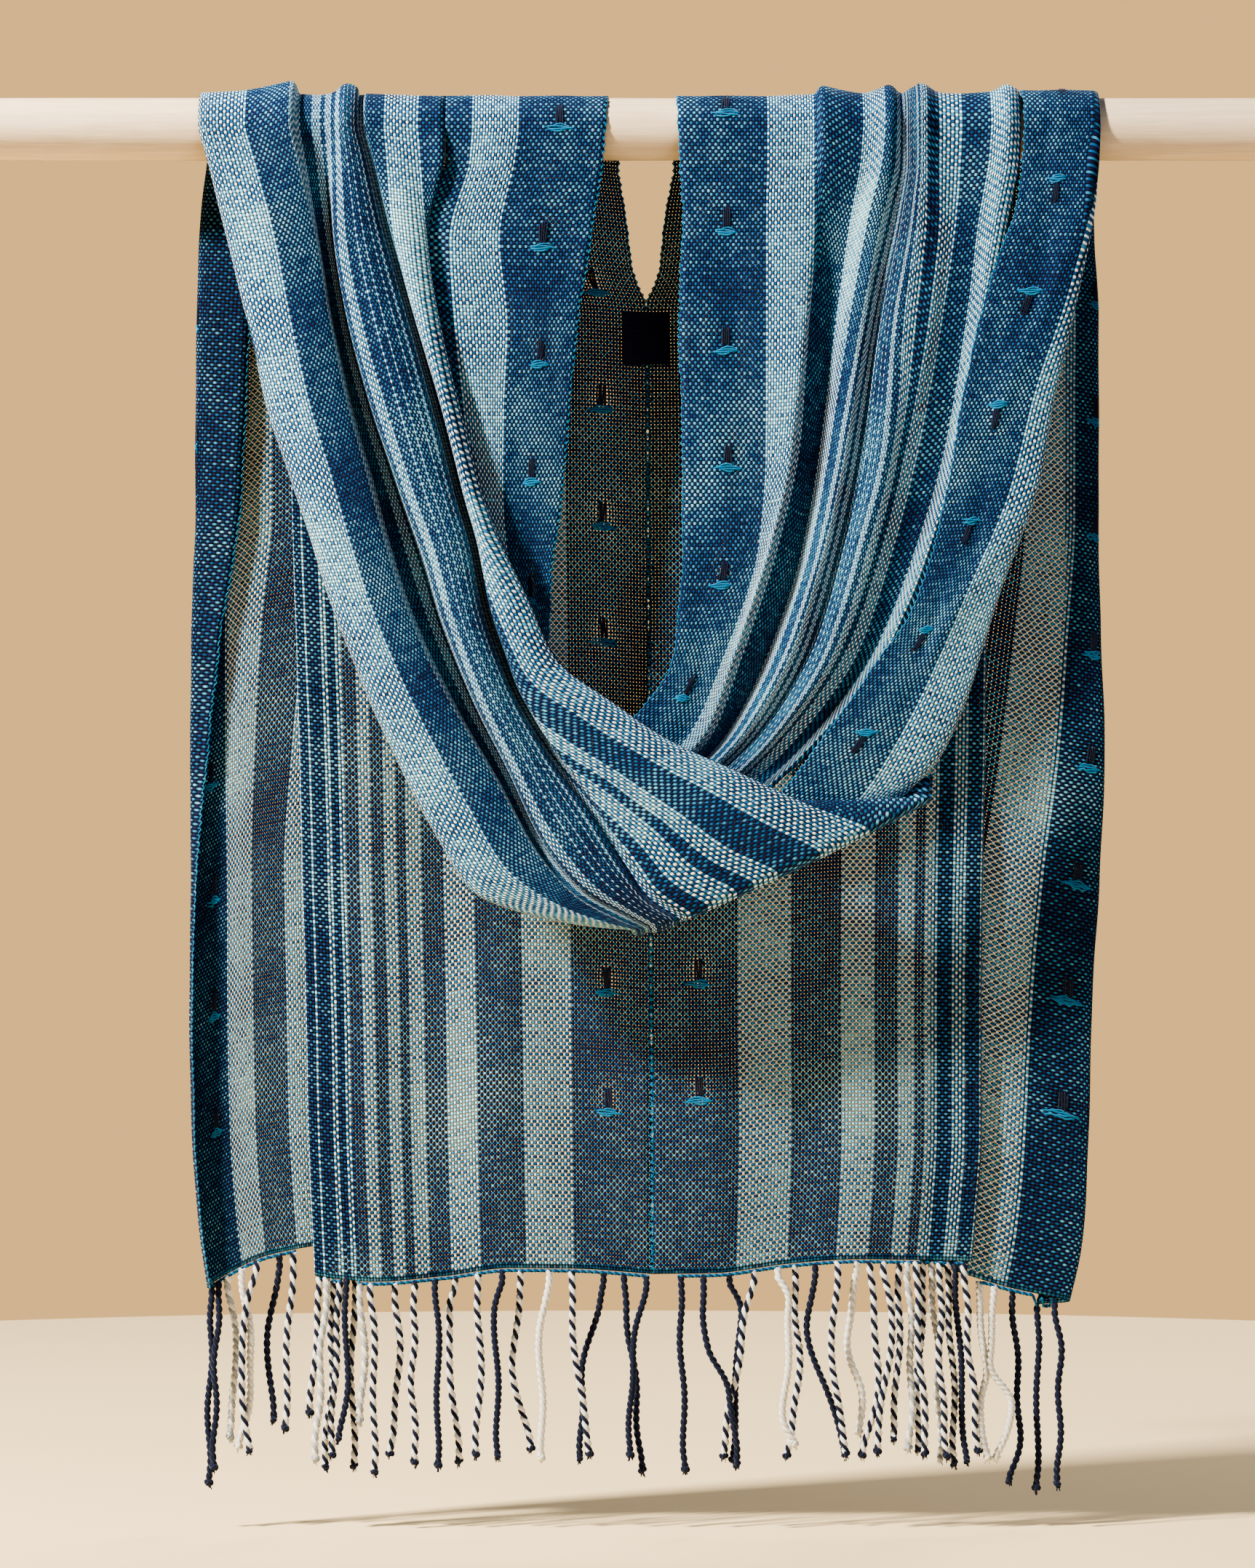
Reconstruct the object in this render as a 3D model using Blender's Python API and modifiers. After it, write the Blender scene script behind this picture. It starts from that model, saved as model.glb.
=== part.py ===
"""A rebozo shawl hung over a wooden rod: two woven panels sewn at the centre back.

The origin is the middle of the rod's axis. X runs along the rod, Y away from the front, Z up.
The tables hold the drape in millimetres, seen from the front, a row for each section.
"""

import math
from collections import namedtuple

import bmesh
import bpy
import numpy as np

MM = 0.001

ROD_RADIUS = 25.0
ROD_LENGTH = 1060.0
ROD_SIDES = 48
ROD_EDGE = 2.0

WALL = 1.6
ROD_STEPS = 9
WRAP_SAG = 0.42
CLEARANCE = 0.3
WRAP_RADIUS = ROD_RADIUS + CLEARANCE + WRAP_SAG + WALL / 2
SEAM_GAP = 0.3
LAYER = 5.0
PLEAT_LIFT = 4.6

BACK_Y = WRAP_RADIUS
LABEL_SIZE = (37.7, 1.2, 42.4)
LABEL_CENTRE = (14.5, -165.6)

STRIP_GAP = 0.4
STRIP_TALL = 3.0
STRIP_THICK = 2.4
ROOT_WIDTH = 3.0
CORD_WIDTH = 4.4
TIP_WIDTH = 3.6
LANE_DEPTH = 6.5
LANES = (0, -1, 1)
LANE_START = 0.5

CLOTH_BLUE = (0.045, 0.16, 0.26)
CLOTH_BLUE_DEEP = (0.03, 0.11, 0.2)
CLOTH_PALE = (0.3, 0.42, 0.46)
CORD_BLUE = (0.05, 0.06, 0.12)
LABEL_NAVY = (0.02, 0.02, 0.06)
ROD_WOOD = (0.72, 0.56, 0.38)

# The left front, gathered into three folds that sweep down into the swag.
# Each point is (x, z) in the front view; crest is how far the folds stand out (y),
# gap_1 and gap_2 how deep the valleys between them go.
Swag = namedtuple("Swag", "outer u_fold pin_left pin_right roll crest gap_1 gap_2")
SWAG = (
    Swag((-319, -90), (-248, -90), (-232, -90), (-195, -90), (-160, -90), -35, 12, 6),
    Swag((-303, -160), (-236, -160), (-220, -160), (-175, -160), (-149, -160), -38, 18, 8),
    Swag((-287, -224), (-222, -224), (-202, -224), (-157, -224), (-134, -224), -41, 20, 10),
    Swag((-269, -279), (-205, -285), (-180, -289), (-139, -293), (-116, -293), -44, 21, 11),
    Swag((-239, -372), (-187, -353), (-160, -343), (-128, -331), (-106, -322), -47, 21, 12),
    Swag((-218, -427), (-166, -408), (-143, -399), (-116, -389), (-80, -376), -50, 20, 12),
    Swag((-187, -498), (-135, -469), (-119, -460), (-95, -447), (-57, -426), -53, 18, 12),
    Swag((-156, -560), (-103, -523), (-92, -515), (-67, -498), (-13, -460), -55, 14, 10),
    Swag((-117, -614), (-72, -579), (-64, -573), (-32, -546), (36, -492), -57, 7, 7),
    Swag((-59, -632), (-38, -616), (-31, -610), (-4, -590), (91, -517), -58, 3, 4),
    Swag((-20, -638), (-8, -632), (-1, -627), (15, -616), (138, -539), -57, 1.5, 2),
    Swag((3, -640), (10, -640), (18, -638), (38, -632), (190, -560), -54, 1, 1),
)
# x and lift above the rod's wrap, a column for each fold line of the left front.
SWAG_ON_ROD = (
    (-312, 0), (-341, 2.4), (-304, PLEAT_LIFT), (-268, 12), (-262, 1), (-243, 1),
    (-234, 3), (-225, 10), (-216, 6), (-214.5, 0.6), (-210, 0.6), (-208, 2),
    (-188, 1), (-167, 0), (-145.2, 0),
)
SWAG_STEPS = (2, 2, 2, 1, 2, 1, 2, 2, 1, 1, 1, 2, 2, 1)
SWAG_ROW_STEPS = (1, 1, 1, 1, 1, 2, 1, 1, 2, 2, 2, 2, 1, 1)

# The inner edge of the left front: a flat strip that falls behind the swag.
Fall = namedtuple("Fall", "z blue white_left white_right selvedge y")
EDGE_FALL = (
    Fall(-28, -144.6, -126, -88, -20, -26.6),
    Fall(-90, -170, -142, -100, -29, -25.5),
    Fall(-160, -162, -138, -94, -40, -25.5),
    Fall(-224, -150, -131, -97, -46, -25),
    Fall(-293, -140, -124, -98, -52, -24),
    Fall(-363, -128, -116, -92, -61, -23),
    Fall(-415, -114, -104, -84, -63, -22),
    Fall(-452, -106, -98, -82, -62, -22),
)
EDGE_ON_ROD = (-144.9, -124, -85, -17)

# The right arm: the far end of the left front, rising over the right front.
Arm = namedtuple("Arm", "left white right y")
ARM = (
    Arm((314.5, -28), (367, -28), (375, -28), -34),
    Arm((308, -67), (364, -67), (371, -67), -39),
    Arm((286, -131), (349, -131), (359, -131), -43),
    Arm((267, -212), (322, -212), (340, -212), -45),
    Arm((253, -293), (301, -293), (324, -293), -46),
    Arm((229, -379), (268, -372), (298, -365), -46),
    Arm((196, -430), (248, -419), (284, -409), -45),
    Arm((155, -488), (219, -479), (267, -463), -44),
    Arm((125, -528), (184, -534), (246, -506), -42),
    Arm((108, -552), (163, -556), (222, -532), -40),
)
ARM_ON_ROD = ((315.5, PLEAT_LIFT), (345, PLEAT_LIFT), (370, PLEAT_LIFT), (376, 2.4), (340, 0))
ARM_RETURN = 38.0

# The right front: x of each fold line and its lift, with the height at its two sides.
Front = namedtuple("Front", "z_left z_right y x lift")
RIGHT_ON_ROD = (
    (40, 0), (110, 0), (149, 1), (156, 8), (188, 2), (209, 9), (219, 2), (235, 10),
    (249, 3), (266, 2), (290, 3), (303, 9), (313, 3), (299, 0),
)
RIGHT = (
    Front(-28, -28, -27,
          (42, 110, 149, 157, 186, 207, 219, 235, 249, 265, 288, 301, 312),
          (0, 1, 3, 6, 2, 8, 2, 9, 4, 2, 3, 7, 3)),
    Front(-73, -73, -27,
          (44, 109, 147, 156, 177, 199, 212, 231, 249, 262, 280, 294, 305),
          (0, 1, 4, 1, -3, 7, 1, 9, 5, 2, 2, 6, 3)),
    Front(-160, -160, -27,
          (41, 109, 141, 145, 163, 186, 196, 216, 240, 250, 269, 281, 290),
          (0, 1, 6, -3, -6, 6, -2, 9, 5, 1, -2, 4, 2)),
    Front(-259, -259, -27,
          (44, 109, 131, 135, 150, 172, 184, 205, 222, 232, 252, 261, 268),
          (0, 1, 7, -6, -10, 6, -3, 10, 4, 0, -5, 2, 1)),
    Front(-334, -334, -27,
          (44, 104, 114, 118, 137, 156, 168, 186, 204, 213, 230, 240, 247),
          (0, 2, 7, -8, -10, 7, -3, 10, 4, 0, -4, 1, 0)),
    Front(-424, -421, -26,
          (36, 76, 85, 89, 108, 128, 141, 158, 173, 183, 195, 203, 210),
          (0, 3, 6, -8, -9, 6, -2, 9, 4, 0, -3, 0, -1)),
    Front(-476, -496, -25,
          (1, 50, 62, 66, 76, 90, 99, 112, 121, 130, 139, 144, 149),
          (0, 2, 4, -5, -5, 4, -1, 6, 3, 0, -2, -1, -2)),
    Front(-508, -532, -24,
          (-28, 20, 30, 34, 43, 56, 64, 76, 85, 93, 101, 106, 110),
          (0, 1, 2, -3, -3, 2, 0, 3, 1, 0, 0, -1, -1)),
)
RIGHT_STEPS = (3, 1, 1, 2, 2, 1, 2, 1, 1, 1, 1, 1, 1)
RIGHT_RETURN = (12.0, 8.0)

# The back panels: x of the fold lines at each height.
BackLeft = namedtuple("BackLeft", "z selvedge edge pleat seam edge_y")
BACK_LEFT = (
    BackLeft(-0.6, -300, -336, -271, -7, 0),
    BackLeft(-26, -300, -339, -271, -7, 0),
    BackLeft(-56, -300, -343, -271, -3, 0),
    BackLeft(-88, -301, -345, -271, 1, 0),
    BackLeft(-116, -302, -346, -271, 6, 0),
    BackLeft(-143, -304, -347, -271, 15, 0),
    BackLeft(-215, -307, -348, -271, 16, 0),
    BackLeft(-305, -312, -349, -270, 16.5, 0),
    BackLeft(-400, -327, -351, -267, 17, 0),
    BackLeft(-500, -338, -352, -264, 18, 1),
    BackLeft(-600, -347, -352, -262, 18.5, 4),
    BackLeft(-700, -350, -353, -259, 19, 7),
    BackLeft(-800, -348, -351, -257, 20, 7),
    BackLeft(-865, -342, -345, -254, 20, 6),
    BackLeft(-905, -336, -339, -252, 20, 5),
)
BackRight = namedtuple("BackRight", "z seam pleat edge")
BACK_RIGHT = (
    BackRight(-0.6, 37, 293, 376),
    BackRight(-26, 37, 293, 376),
    BackRight(-56, 32, 292, 376),
    BackRight(-88, 28, 292, 377),
    BackRight(-116, 24, 291, 379),
    BackRight(-143, 15, 291, 380),
    BackRight(-215, 16, 290, 380),
    BackRight(-305, 16.5, 290, 380),
    BackRight(-400, 17, 289, 382),
    BackRight(-500, 18, 288, 385),
    BackRight(-600, 18.5, 286, 381),
    BackRight(-700, 19, 285, 375),
    BackRight(-800, 20, 285, 372),
    BackRight(-865, 20, 281, 367),
    BackRight(-905, 20, 277, 357),
)
LEFT_RETURN = 34.0
RIGHT_RETURN_BACK = 42.0
EDGE_RETURN = 26.0
WAVES = (0.0, 2.4, -1.6, 2.2, -1.4, 0.0)
# Height of the hem at each fold line, outer edge first on the left, seam first on the right.
HEM_LEFT = (-931, -930, -905, -893, -897, -902, -918, -920, -925, -921, -914, -915, -919)
HEM_RIGHT = (-919, -918, -911, -907, -908, -909, -909, -907, -908, -930, -942, -945)
HEM_ROWS = (0.35, 0.8, 1.0)

# The fringe: the root's x, then (x, z) of the points that each cord hangs through.
Cord = namedtuple("Cord", "root points")
FRINGE_LEFT_OUTER = (
    Cord(-335, ((-337, -1010), (-338, -1094))),
    Cord(-329.5, ((-332, -1000), (-333, -1080))),
    Cord(-323, ((-316, -994), (-322, -1057))),
    Cord(-311, ((-303, -998), (-315, -1064))),
    Cord(-299, ((-312, -981), (-304, -1067))),
    Cord(-281, ((-290, -969), (-286, -1043))),
    Cord(-270, ((-274, -980), (-277, -1050))),
)
FRINGE_LEFT = (
    Cord(-248, ((-252, -980), (-256, -1036))),
    Cord(-242.5, ((-247, -1000), (-251, -1072))),
    Cord(-237, ((-239, -1000), (-244, -1080))),
    Cord(-231.5, ((-236, -1000), (-238, -1069))),
    Cord(-226, ((-226, -1000), (-233, -1056))),
    Cord(-220.5, ((-222, -1010), (-221, -1081))),
    Cord(-215, ((-212, -1000), (-216, -1042))),
    Cord(-207, ((-203, -1000), (-204, -1082))),
    Cord(-187, ((-184, -994), (-193, -1070))),
    Cord(-171, ((-173, -1000), (-171, -1076))),
    Cord(-155, ((-152, -1000), (-153, -1078))),
    Cord(-139, ((-145, -950), (-136, -1076))),
    Cord(-120, ((-119, -1000), (-122, -1069))),
    Cord(-101, ((-106, -948), (-104, -1069))),
    Cord(-86, ((-92, -988), (-77, -1065))),
    Cord(-63, ((-70, -965), (-69, -1072))),
    Cord(-45, ((-40, -1000), (-29, -1069))),
    Cord(-19, ((-37, -1010), (-38, -1074))),
    Cord(-3, ((5, -998), (12, -1082))),
    Cord(15, ((3, -998), (2, -1070))),
)
FRINGE_RIGHT = (
    Cord(43, ((44, -1000), (47, -1081))),
    Cord(61, ((64, -977), (83, -1016), (88, -1077))),
    Cord(82, ((91, -954), (84, -1074))),
    Cord(102, ((94, -959), (76, -1071))),
    Cord(121, ((131, -943), (126, -1030), (137, -1060))),
    Cord(135, ((138, -1003), (127, -1071))),
    Cord(151, ((145, -959), (161, -1016), (176, -1065))),
    Cord(169, ((165, -990), (177, -1069))),
    Cord(185, ((177, -969), (188, -1016), (186, -1052))),
    Cord(195, ((202, -995), (188, -1070))),
    Cord(206, ((213, -948), (200, -1066))),
    Cord(219, ((218, -990), (214, -1057))),
    Cord(225.5, ((229, -1000), (226, -1064))),
    Cord(232, ((236, -990), (240, -1069))),
    Cord(238.5, ((235, -1000), (234, -1066))),
    Cord(245, ((250, -990), (252, -1074))),
    Cord(251.5, ((252, -1000), (258, -1071))),
    Cord(258, ((262, -990), (264, -1078))),
    Cord(264.5, ((268, -1000), (274, -1074))),
    Cord(271, ((276, -990), (283, -1066))),
)
FRINGE_RIGHT_OUTER = (
    Cord(284, ((289, -995), (284, -1024), (292, -1073))),
    Cord(296, ((291, -990), (311, -1024), (294, -1073))),
    Cord(311, ((317, -1043), (307, -1093))),
    Cord(331, ((332, -1010), (330, -1099))),
    Cord(345, ((349, -990), (347, -1095))),
)


def clear_scene():
    for obj in list(bpy.data.objects):
        bpy.data.objects.remove(obj, do_unlink=True)


def new_collection(name):
    collection = bpy.data.collections.new(name)
    bpy.context.scene.collection.children.link(collection)
    return collection


def material(name, color, roughness):
    made = bpy.data.materials.new(name)
    made.use_nodes = True
    shader = made.node_tree.nodes["Principled BSDF"]
    shader.inputs["Base Color"].default_value = (*color, 1.0)
    shader.inputs["Roughness"].default_value = roughness
    shader.inputs["Metallic"].default_value = 0.0
    return made


def finish_object(bm, name, color, roughness, collection):
    """Puts a bmesh in millimetres into the scene as a named object in metres."""
    bmesh.ops.scale(bm, vec=(MM, MM, MM), verts=bm.verts)
    mesh = bpy.data.meshes.new(name)
    bm.to_mesh(mesh)
    bm.free()
    mesh.shade_smooth()
    obj = bpy.data.objects.new(name, mesh)
    obj.data.materials.append(material(f"{name}_finish", color, roughness))
    collection.objects.link(obj)
    return obj


def eased(keys, steps):
    """A smooth line through the keys that never swings past them, with the given steps between each two."""
    keys = np.asarray(keys, float)
    rise = np.diff(keys, axis=0)
    slope = np.zeros_like(keys)
    slope[0], slope[-1] = rise[0], rise[-1]
    before, after = rise[:-1], rise[1:]
    total = before + after
    same_way = before * after > 0
    slope[1:-1] = np.where(same_way, 2 * before * after / np.where(same_way, total, 1), 0)
    points = [keys[0]]
    for i, count in enumerate(steps):
        for step in range(1, count + 1):
            t = step / count
            points.append(
                (2 * t**3 - 3 * t**2 + 1) * keys[i]
                + (t**3 - 2 * t**2 + t) * slope[i]
                + (3 * t**2 - 2 * t**3) * keys[i + 1]
                + (t**3 - t**2) * slope[i + 1]
            )
    return np.array(points)


def surface(rows, row_steps, column_steps):
    """Points of the cloth, eased across each section and then down the sections."""
    across = np.array([eased(row, column_steps) for row in rows])
    return eased(across, row_steps)


def cloth(name, points, color, collection):
    """An open grid through the points, given its wall by Solidify."""
    rows, columns = points.shape[:2]
    bm = bmesh.new()
    bmesh.ops.create_grid(bm, x_segments=columns - 1, y_segments=rows - 1, size=1)
    bm.verts.ensure_lookup_table()
    for vert, place in zip(bm.verts, points.reshape(-1, 3)):
        vert.co = place
    obj = finish_object(bm, name, color, 0.85, collection)
    wall = obj.modifiers.new("Wall", "SOLIDIFY")
    wall.thickness = WALL * MM
    wall.offset = 0
    wall.use_rim = True
    return obj


def rod_rows(columns):
    """Sections over the rod, from its back to its front, for (x, lift) columns."""
    rows = []
    for step in range(ROD_STEPS + 1):
        angle = math.pi * step / ROD_STEPS
        keep = 0.35 + 0.65 * math.sin(min(angle, math.pi / 2))
        row = []
        for x, lift in columns:
            ridge = max(lift - PLEAT_LIFT, 0) * keep
            radius = WRAP_RADIUS + min(lift, PLEAT_LIFT) + ridge
            row.append((x, radius * math.cos(angle), radius * math.sin(angle)))
        rows.append(row)
    return rows


def between(a, b, t):
    return a[0] + (b[0] - a[0]) * t, a[1] + (b[1] - a[1]) * t


def toward(a, b, distance):
    """The point this far from a in the direction of b."""
    length = math.hypot(b[0] - a[0], b[1] - a[1])
    return between(a, b, distance / length)


def at(point, y):
    return point[0], y, point[1]


def swag_row(row):
    """One section of the left front: the U fold, the pinstripe fold and the band below the rolled edge."""
    gap_low, gap_high = row.u_fold, row.pin_left
    width = min(6.0, math.hypot(row.roll[0] - row.pin_right[0], row.roll[1] - row.pin_right[1]) / 2)
    y = row.crest
    return [
        at(between(row.outer, row.u_fold, 0.5), y + 9),
        at(row.outer, y + 5),
        at(between(row.outer, row.u_fold, 0.5), y),
        at(gap_low, y + 1.5),
        at(between(gap_low, gap_high, 0.14), y + 1.5 + row.gap_1),
        at(between(gap_low, gap_high, 0.86), y + 1.5 + row.gap_1),
        at(gap_high, y + 2),
        at(between(row.pin_left, row.pin_right, 0.5), y - 1),
        at(row.pin_right, y + 2),
        at(toward(row.pin_right, row.roll, 0.2 * width), y + 2 + row.gap_2),
        at(toward(row.pin_right, row.roll, 0.8 * width), y + 2 + row.gap_2),
        at(toward(row.pin_right, row.roll, width), y + 2),
        at(between(row.pin_right, row.roll, 0.6), y - 1),
        at(row.roll, y + 2),
        at(toward(row.roll, row.pin_right, -1.0), y + 6),
    ]


def swag_start(on_rod, first):
    """The section between the rod and the first one below it, where the folds let go of the rod."""
    row = [tuple(a + (b - a) * 0.32 for a, b in zip(up, down)) for up, down in zip(on_rod, first)]
    row[-1] = (on_rod[-1][0] - 0.6, -31.5, row[-1][2])
    return row


def swag_turn(last, crest):
    """The two sections that wrap the cloth round the lower fold line: the layers in front turn outside."""
    edge, end = [], []
    for x, y, z in last:
        depth = y - crest
        edge.append((x + 1, crest + 11, z - 5 + 0.5 * depth))
        end.append((x + 3, crest + 23 - depth, z + 18))
    return [edge, end]


def build_left_swag(collection):
    rows = rod_rows(SWAG_ON_ROD)
    below = [swag_row(row) for row in SWAG]
    roll_end = below[-1]
    roll_end[-1] = (240.0, roll_end[-1][1] - 3, -534.0)
    below[-2][-1] = at(toward(SWAG[-2].roll, SWAG[-2].pin_right, -3.0), SWAG[-2].crest + 6)
    start = swag_start(rows[-1], below[0])
    rows += [start] + below + swag_turn(roll_end, SWAG[-1].crest)
    row_steps = (1,) * ROD_STEPS + SWAG_ROW_STEPS[:1] + SWAG_ROW_STEPS
    row_steps = row_steps[: len(rows) - 1]
    return cloth("left_swag", surface(rows, row_steps, SWAG_STEPS), CLOTH_BLUE, collection)


def build_left_edge(collection):
    rows = rod_rows([(x, 0) for x in EDGE_ON_ROD])
    for row in EDGE_FALL:
        xs = (row.blue, row.white_left, row.white_right, row.selvedge)
        ys = (row.y + 0.5, row.y, row.y - 1.0, row.y)
        rows.append([(x, y, row.z) for x, y in zip(xs, ys)])
    row_steps = (1,) * (len(rows) - 1)
    return cloth("left_edge", surface(rows, row_steps, (1, 2, 3)), CLOTH_BLUE_DEEP, collection)


def build_right_arm(collection):
    rows = rod_rows(ARM_ON_ROD)
    for row in ARM:
        ret = (row.right[0] - ARM_RETURN, row.right[1])
        rows.append([
            at(row.left, row.y + 1),
            at(between(row.left, row.white, 0.5), row.y),
            at(row.white, row.y - 1),
            at(row.right, row.y + 2.5),
            at(ret, row.y + 6.5),
        ])
    row_steps = (1,) * (ROD_STEPS + 4) + (2,) * (len(ARM) - 4)
    return cloth("right_arm", surface(rows, row_steps, (2, 2, 2, 3)), CLOTH_BLUE_DEEP, collection)


def build_right_front(collection):
    rows = rod_rows(RIGHT_ON_ROD)
    for row in RIGHT:
        span = row.x[-1] - row.x[0]
        points = []
        for x, lift in zip(row.x, row.lift):
            z = row.z_left + (row.z_right - row.z_left) * (x - row.x[0]) / span
            points.append((x, row.y - lift, z))
        x, y, z = points[-1]
        points.append((x - RIGHT_RETURN[0], y + RIGHT_RETURN[1], z))
        rows.append(points)
    row_steps = (1,) * (ROD_STEPS + 1) + (2,) * (len(RIGHT) - 1)
    return cloth("right_front", surface(rows, row_steps, RIGHT_STEPS), CLOTH_BLUE, collection)


def wave(height, index):
    """How far a soft fold of the back stands out, growing from the rod to the hem."""
    return WAVES[index] * min(1.0, height / 600)


def back_left_columns(row):
    """Key points of a section of the left back: folded edge strip, outer part, pleat and main part."""
    y = BACK_Y
    turn = row.pleat + LEFT_RETURN
    seam = row.seam - SEAM_GAP / 2
    main = [row.pleat + (seam - row.pleat) * t for t in (0.18, 0.38, 0.58, 0.79)]
    height = -row.z
    return [
        (row.selvedge, y + LAYER * 0.4 - row.edge_y),
        (row.edge, y + LAYER * 1.3),
        (row.edge + (row.pleat - row.edge) * 0.55, y + 2 * LAYER + 1),
        (turn - 5, y + 2.4 * LAYER),
        (turn, y + 1.8 * LAYER),
        (turn - 5, y + 1.2 * LAYER),
        (row.pleat + 7, y + 1.3 * LAYER),
        (row.pleat, y + 0.5 * LAYER),
        *[(x, y - wave(height, i + 1)) for i, x in enumerate(main)],
        (seam, y),
    ]


def back_right_columns(row):
    """Key points of a section of the right back, from the seam to the edge folded behind."""
    y = BACK_Y
    turn = row.pleat - RIGHT_RETURN_BACK
    seam = row.seam + SEAM_GAP / 2
    main = [seam + (row.pleat - seam) * t for t in (0.2, 0.42, 0.64, 0.86)]
    height = -row.z
    return [
        (seam, y),
        *[(x, y - wave(height, i + 1)) for i, x in enumerate(main)],
        (row.pleat, y + 0.5 * LAYER),
        (row.pleat - 5, y + 1.1 * LAYER),
        (turn + 2, y + 1.25 * LAYER),
        (turn + 2, y + 2 * LAYER),
        (row.pleat + (row.edge - row.pleat) * 0.35, y + 2 * LAYER + 1),
        (row.edge, y + 2.7 * LAYER),
        (row.edge - EDGE_RETURN, y + 3.8 * LAYER),
    ]


def back_rows(table, columns, hems):
    """Sections of a back panel: level ones, the last of them bent to the hem's own line."""
    rows = []
    first_bent = len(table) - len(HEM_ROWS)
    for i, row in enumerate(table):
        share = HEM_ROWS[i - first_bent] if i >= first_bent else 0
        keys = columns(row)
        level = table[-1].z
        rows.append([(x, y, row.z + (hem - level) * share) for (x, y), hem in zip(keys, hems)])
    return rows


def build_back(name, table, columns, hems, steps, color, collection):
    rows = back_rows(table, columns, hems)
    points = surface(rows, (1,) * (len(rows) - 1), steps)
    cloth(name, points, color, collection)
    return points[-1]


def hem_between(hem, first, last):
    """The part of the hem whose points run from one x to another, in that order."""
    picked = [tuple(p) for p in hem[first:last]]
    return picked if picked[0][0] < picked[-1][0] else picked[::-1]


def hem_at(hem, x):
    """The hem's y and z at x."""
    xs = [p[0] for p in hem]
    return np.interp(x, xs, [p[1] for p in hem]), np.interp(x, xs, [p[2] for p in hem])


def strip_stations(hem, cords):
    """The x of every section of the backing strip, and which of them start a cord."""
    half = ROOT_WIDTH / 2
    roots = {cord.root - half: cord for cord in cords}
    low, high = cords[0].root - half - 1, cords[-1].root + half + 1
    stations = {low, high} | set(roots) | {cord.root + half for cord in cords}
    for x, _, _ in hem:
        if low < x < high and all(abs(x - cord.root) > half + 0.2 for cord in cords):
            stations.add(x)
    return sorted(stations), roots


def build_fringe(name, hem, cords, collection):
    """A narrow strip along the hem with its twisted cords as four-sided strands."""
    stations, roots = strip_stations(hem, cords)
    bm = bmesh.new()
    rings = []
    for x in stations:
        y, z = hem_at(hem, x)
        top, bottom = z - STRIP_GAP, z - STRIP_GAP - STRIP_TALL
        near, far = y - STRIP_THICK / 2, y + STRIP_THICK / 2
        corners = ((near, top), (far, top), (far, bottom), (near, bottom))
        rings.append([bm.verts.new((x, cy, cz)) for cy, cz in corners])
    bottoms = {}
    for x, ring, after in zip(stations, rings, rings[1:]):
        for i in range(4):
            j = (i + 1) % 4
            face = bm.faces.new((ring[i], ring[j], after[j], after[i]))
            if i == 2:
                bottoms[x] = face
    bm.faces.new(rings[0])
    bm.faces.new(rings[-1][::-1])
    bmesh.ops.recalc_face_normals(bm, faces=bm.faces)
    for index, (x, cord) in enumerate(sorted(roots.items())):
        hang_cord(bm, bottoms[x], cord, LANES[index % len(LANES)] * LANE_DEPTH)
    return finish_object(bm, name, CORD_BLUE, 0.9, collection)


def hang_cord(bm, face, cord, lane):
    """Extrudes one root face of the strip down through the cord's points."""
    y = face.calc_center_median().y
    below = face.calc_center_median().z
    first = (cord.root, below - 6)
    points = (first, *cord.points)
    for i, (x, z) in enumerate(points):
        made = bmesh.ops.extrude_discrete_faces(bm, faces=[face])
        face = made["faces"][0]
        width = TIP_WIDTH if i == len(points) - 1 else CORD_WIDTH
        if i == 0:
            width = (ROOT_WIDTH + CORD_WIDTH) / 2
        out = lane * (LANE_START if i == 0 else 1.0)
        centre = face.calc_center_median()
        for vert in face.verts:
            vert.co.x = x + math.copysign(width / 2, vert.co.x - centre.x)
            vert.co.y = y + out + math.copysign(width / 2, vert.co.y - centre.y)
            vert.co.z = z


def build_rod(collection):
    bpy.ops.mesh.primitive_cylinder_add(
        vertices=ROD_SIDES,
        radius=ROD_RADIUS * MM,
        depth=ROD_LENGTH * MM,
        rotation=(0, math.pi / 2, 0),
    )
    rod = bpy.context.active_object
    rod.name = "rod"
    for owner in list(rod.users_collection):
        owner.objects.unlink(rod)
    collection.objects.link(rod)
    rod.data.materials.append(material("rod_finish", ROD_WOOD, 0.6))
    edge = rod.modifiers.new("Rounded ends", "BEVEL")
    edge.width = ROD_EDGE * MM
    edge.segments = 1
    edge.limit_method = "ANGLE"
    edge.angle_limit = math.radians(60)
    return rod


def build_label(collection):
    """The ribbed label, sewn over the top of the centre seam on the inside of the back."""
    width, thick, tall = LABEL_SIZE
    bm = bmesh.new()
    bmesh.ops.create_cube(bm, size=1)
    bmesh.ops.scale(bm, vec=LABEL_SIZE, verts=bm.verts)
    y = BACK_Y - WALL / 2 - CLEARANCE - thick / 2 - max(WAVES) * 0.12
    x, z = LABEL_CENTRE
    bmesh.ops.translate(bm, vec=(x, y, z), verts=bm.verts)
    return finish_object(bm, "label", LABEL_NAVY, 0.7, collection)


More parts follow.
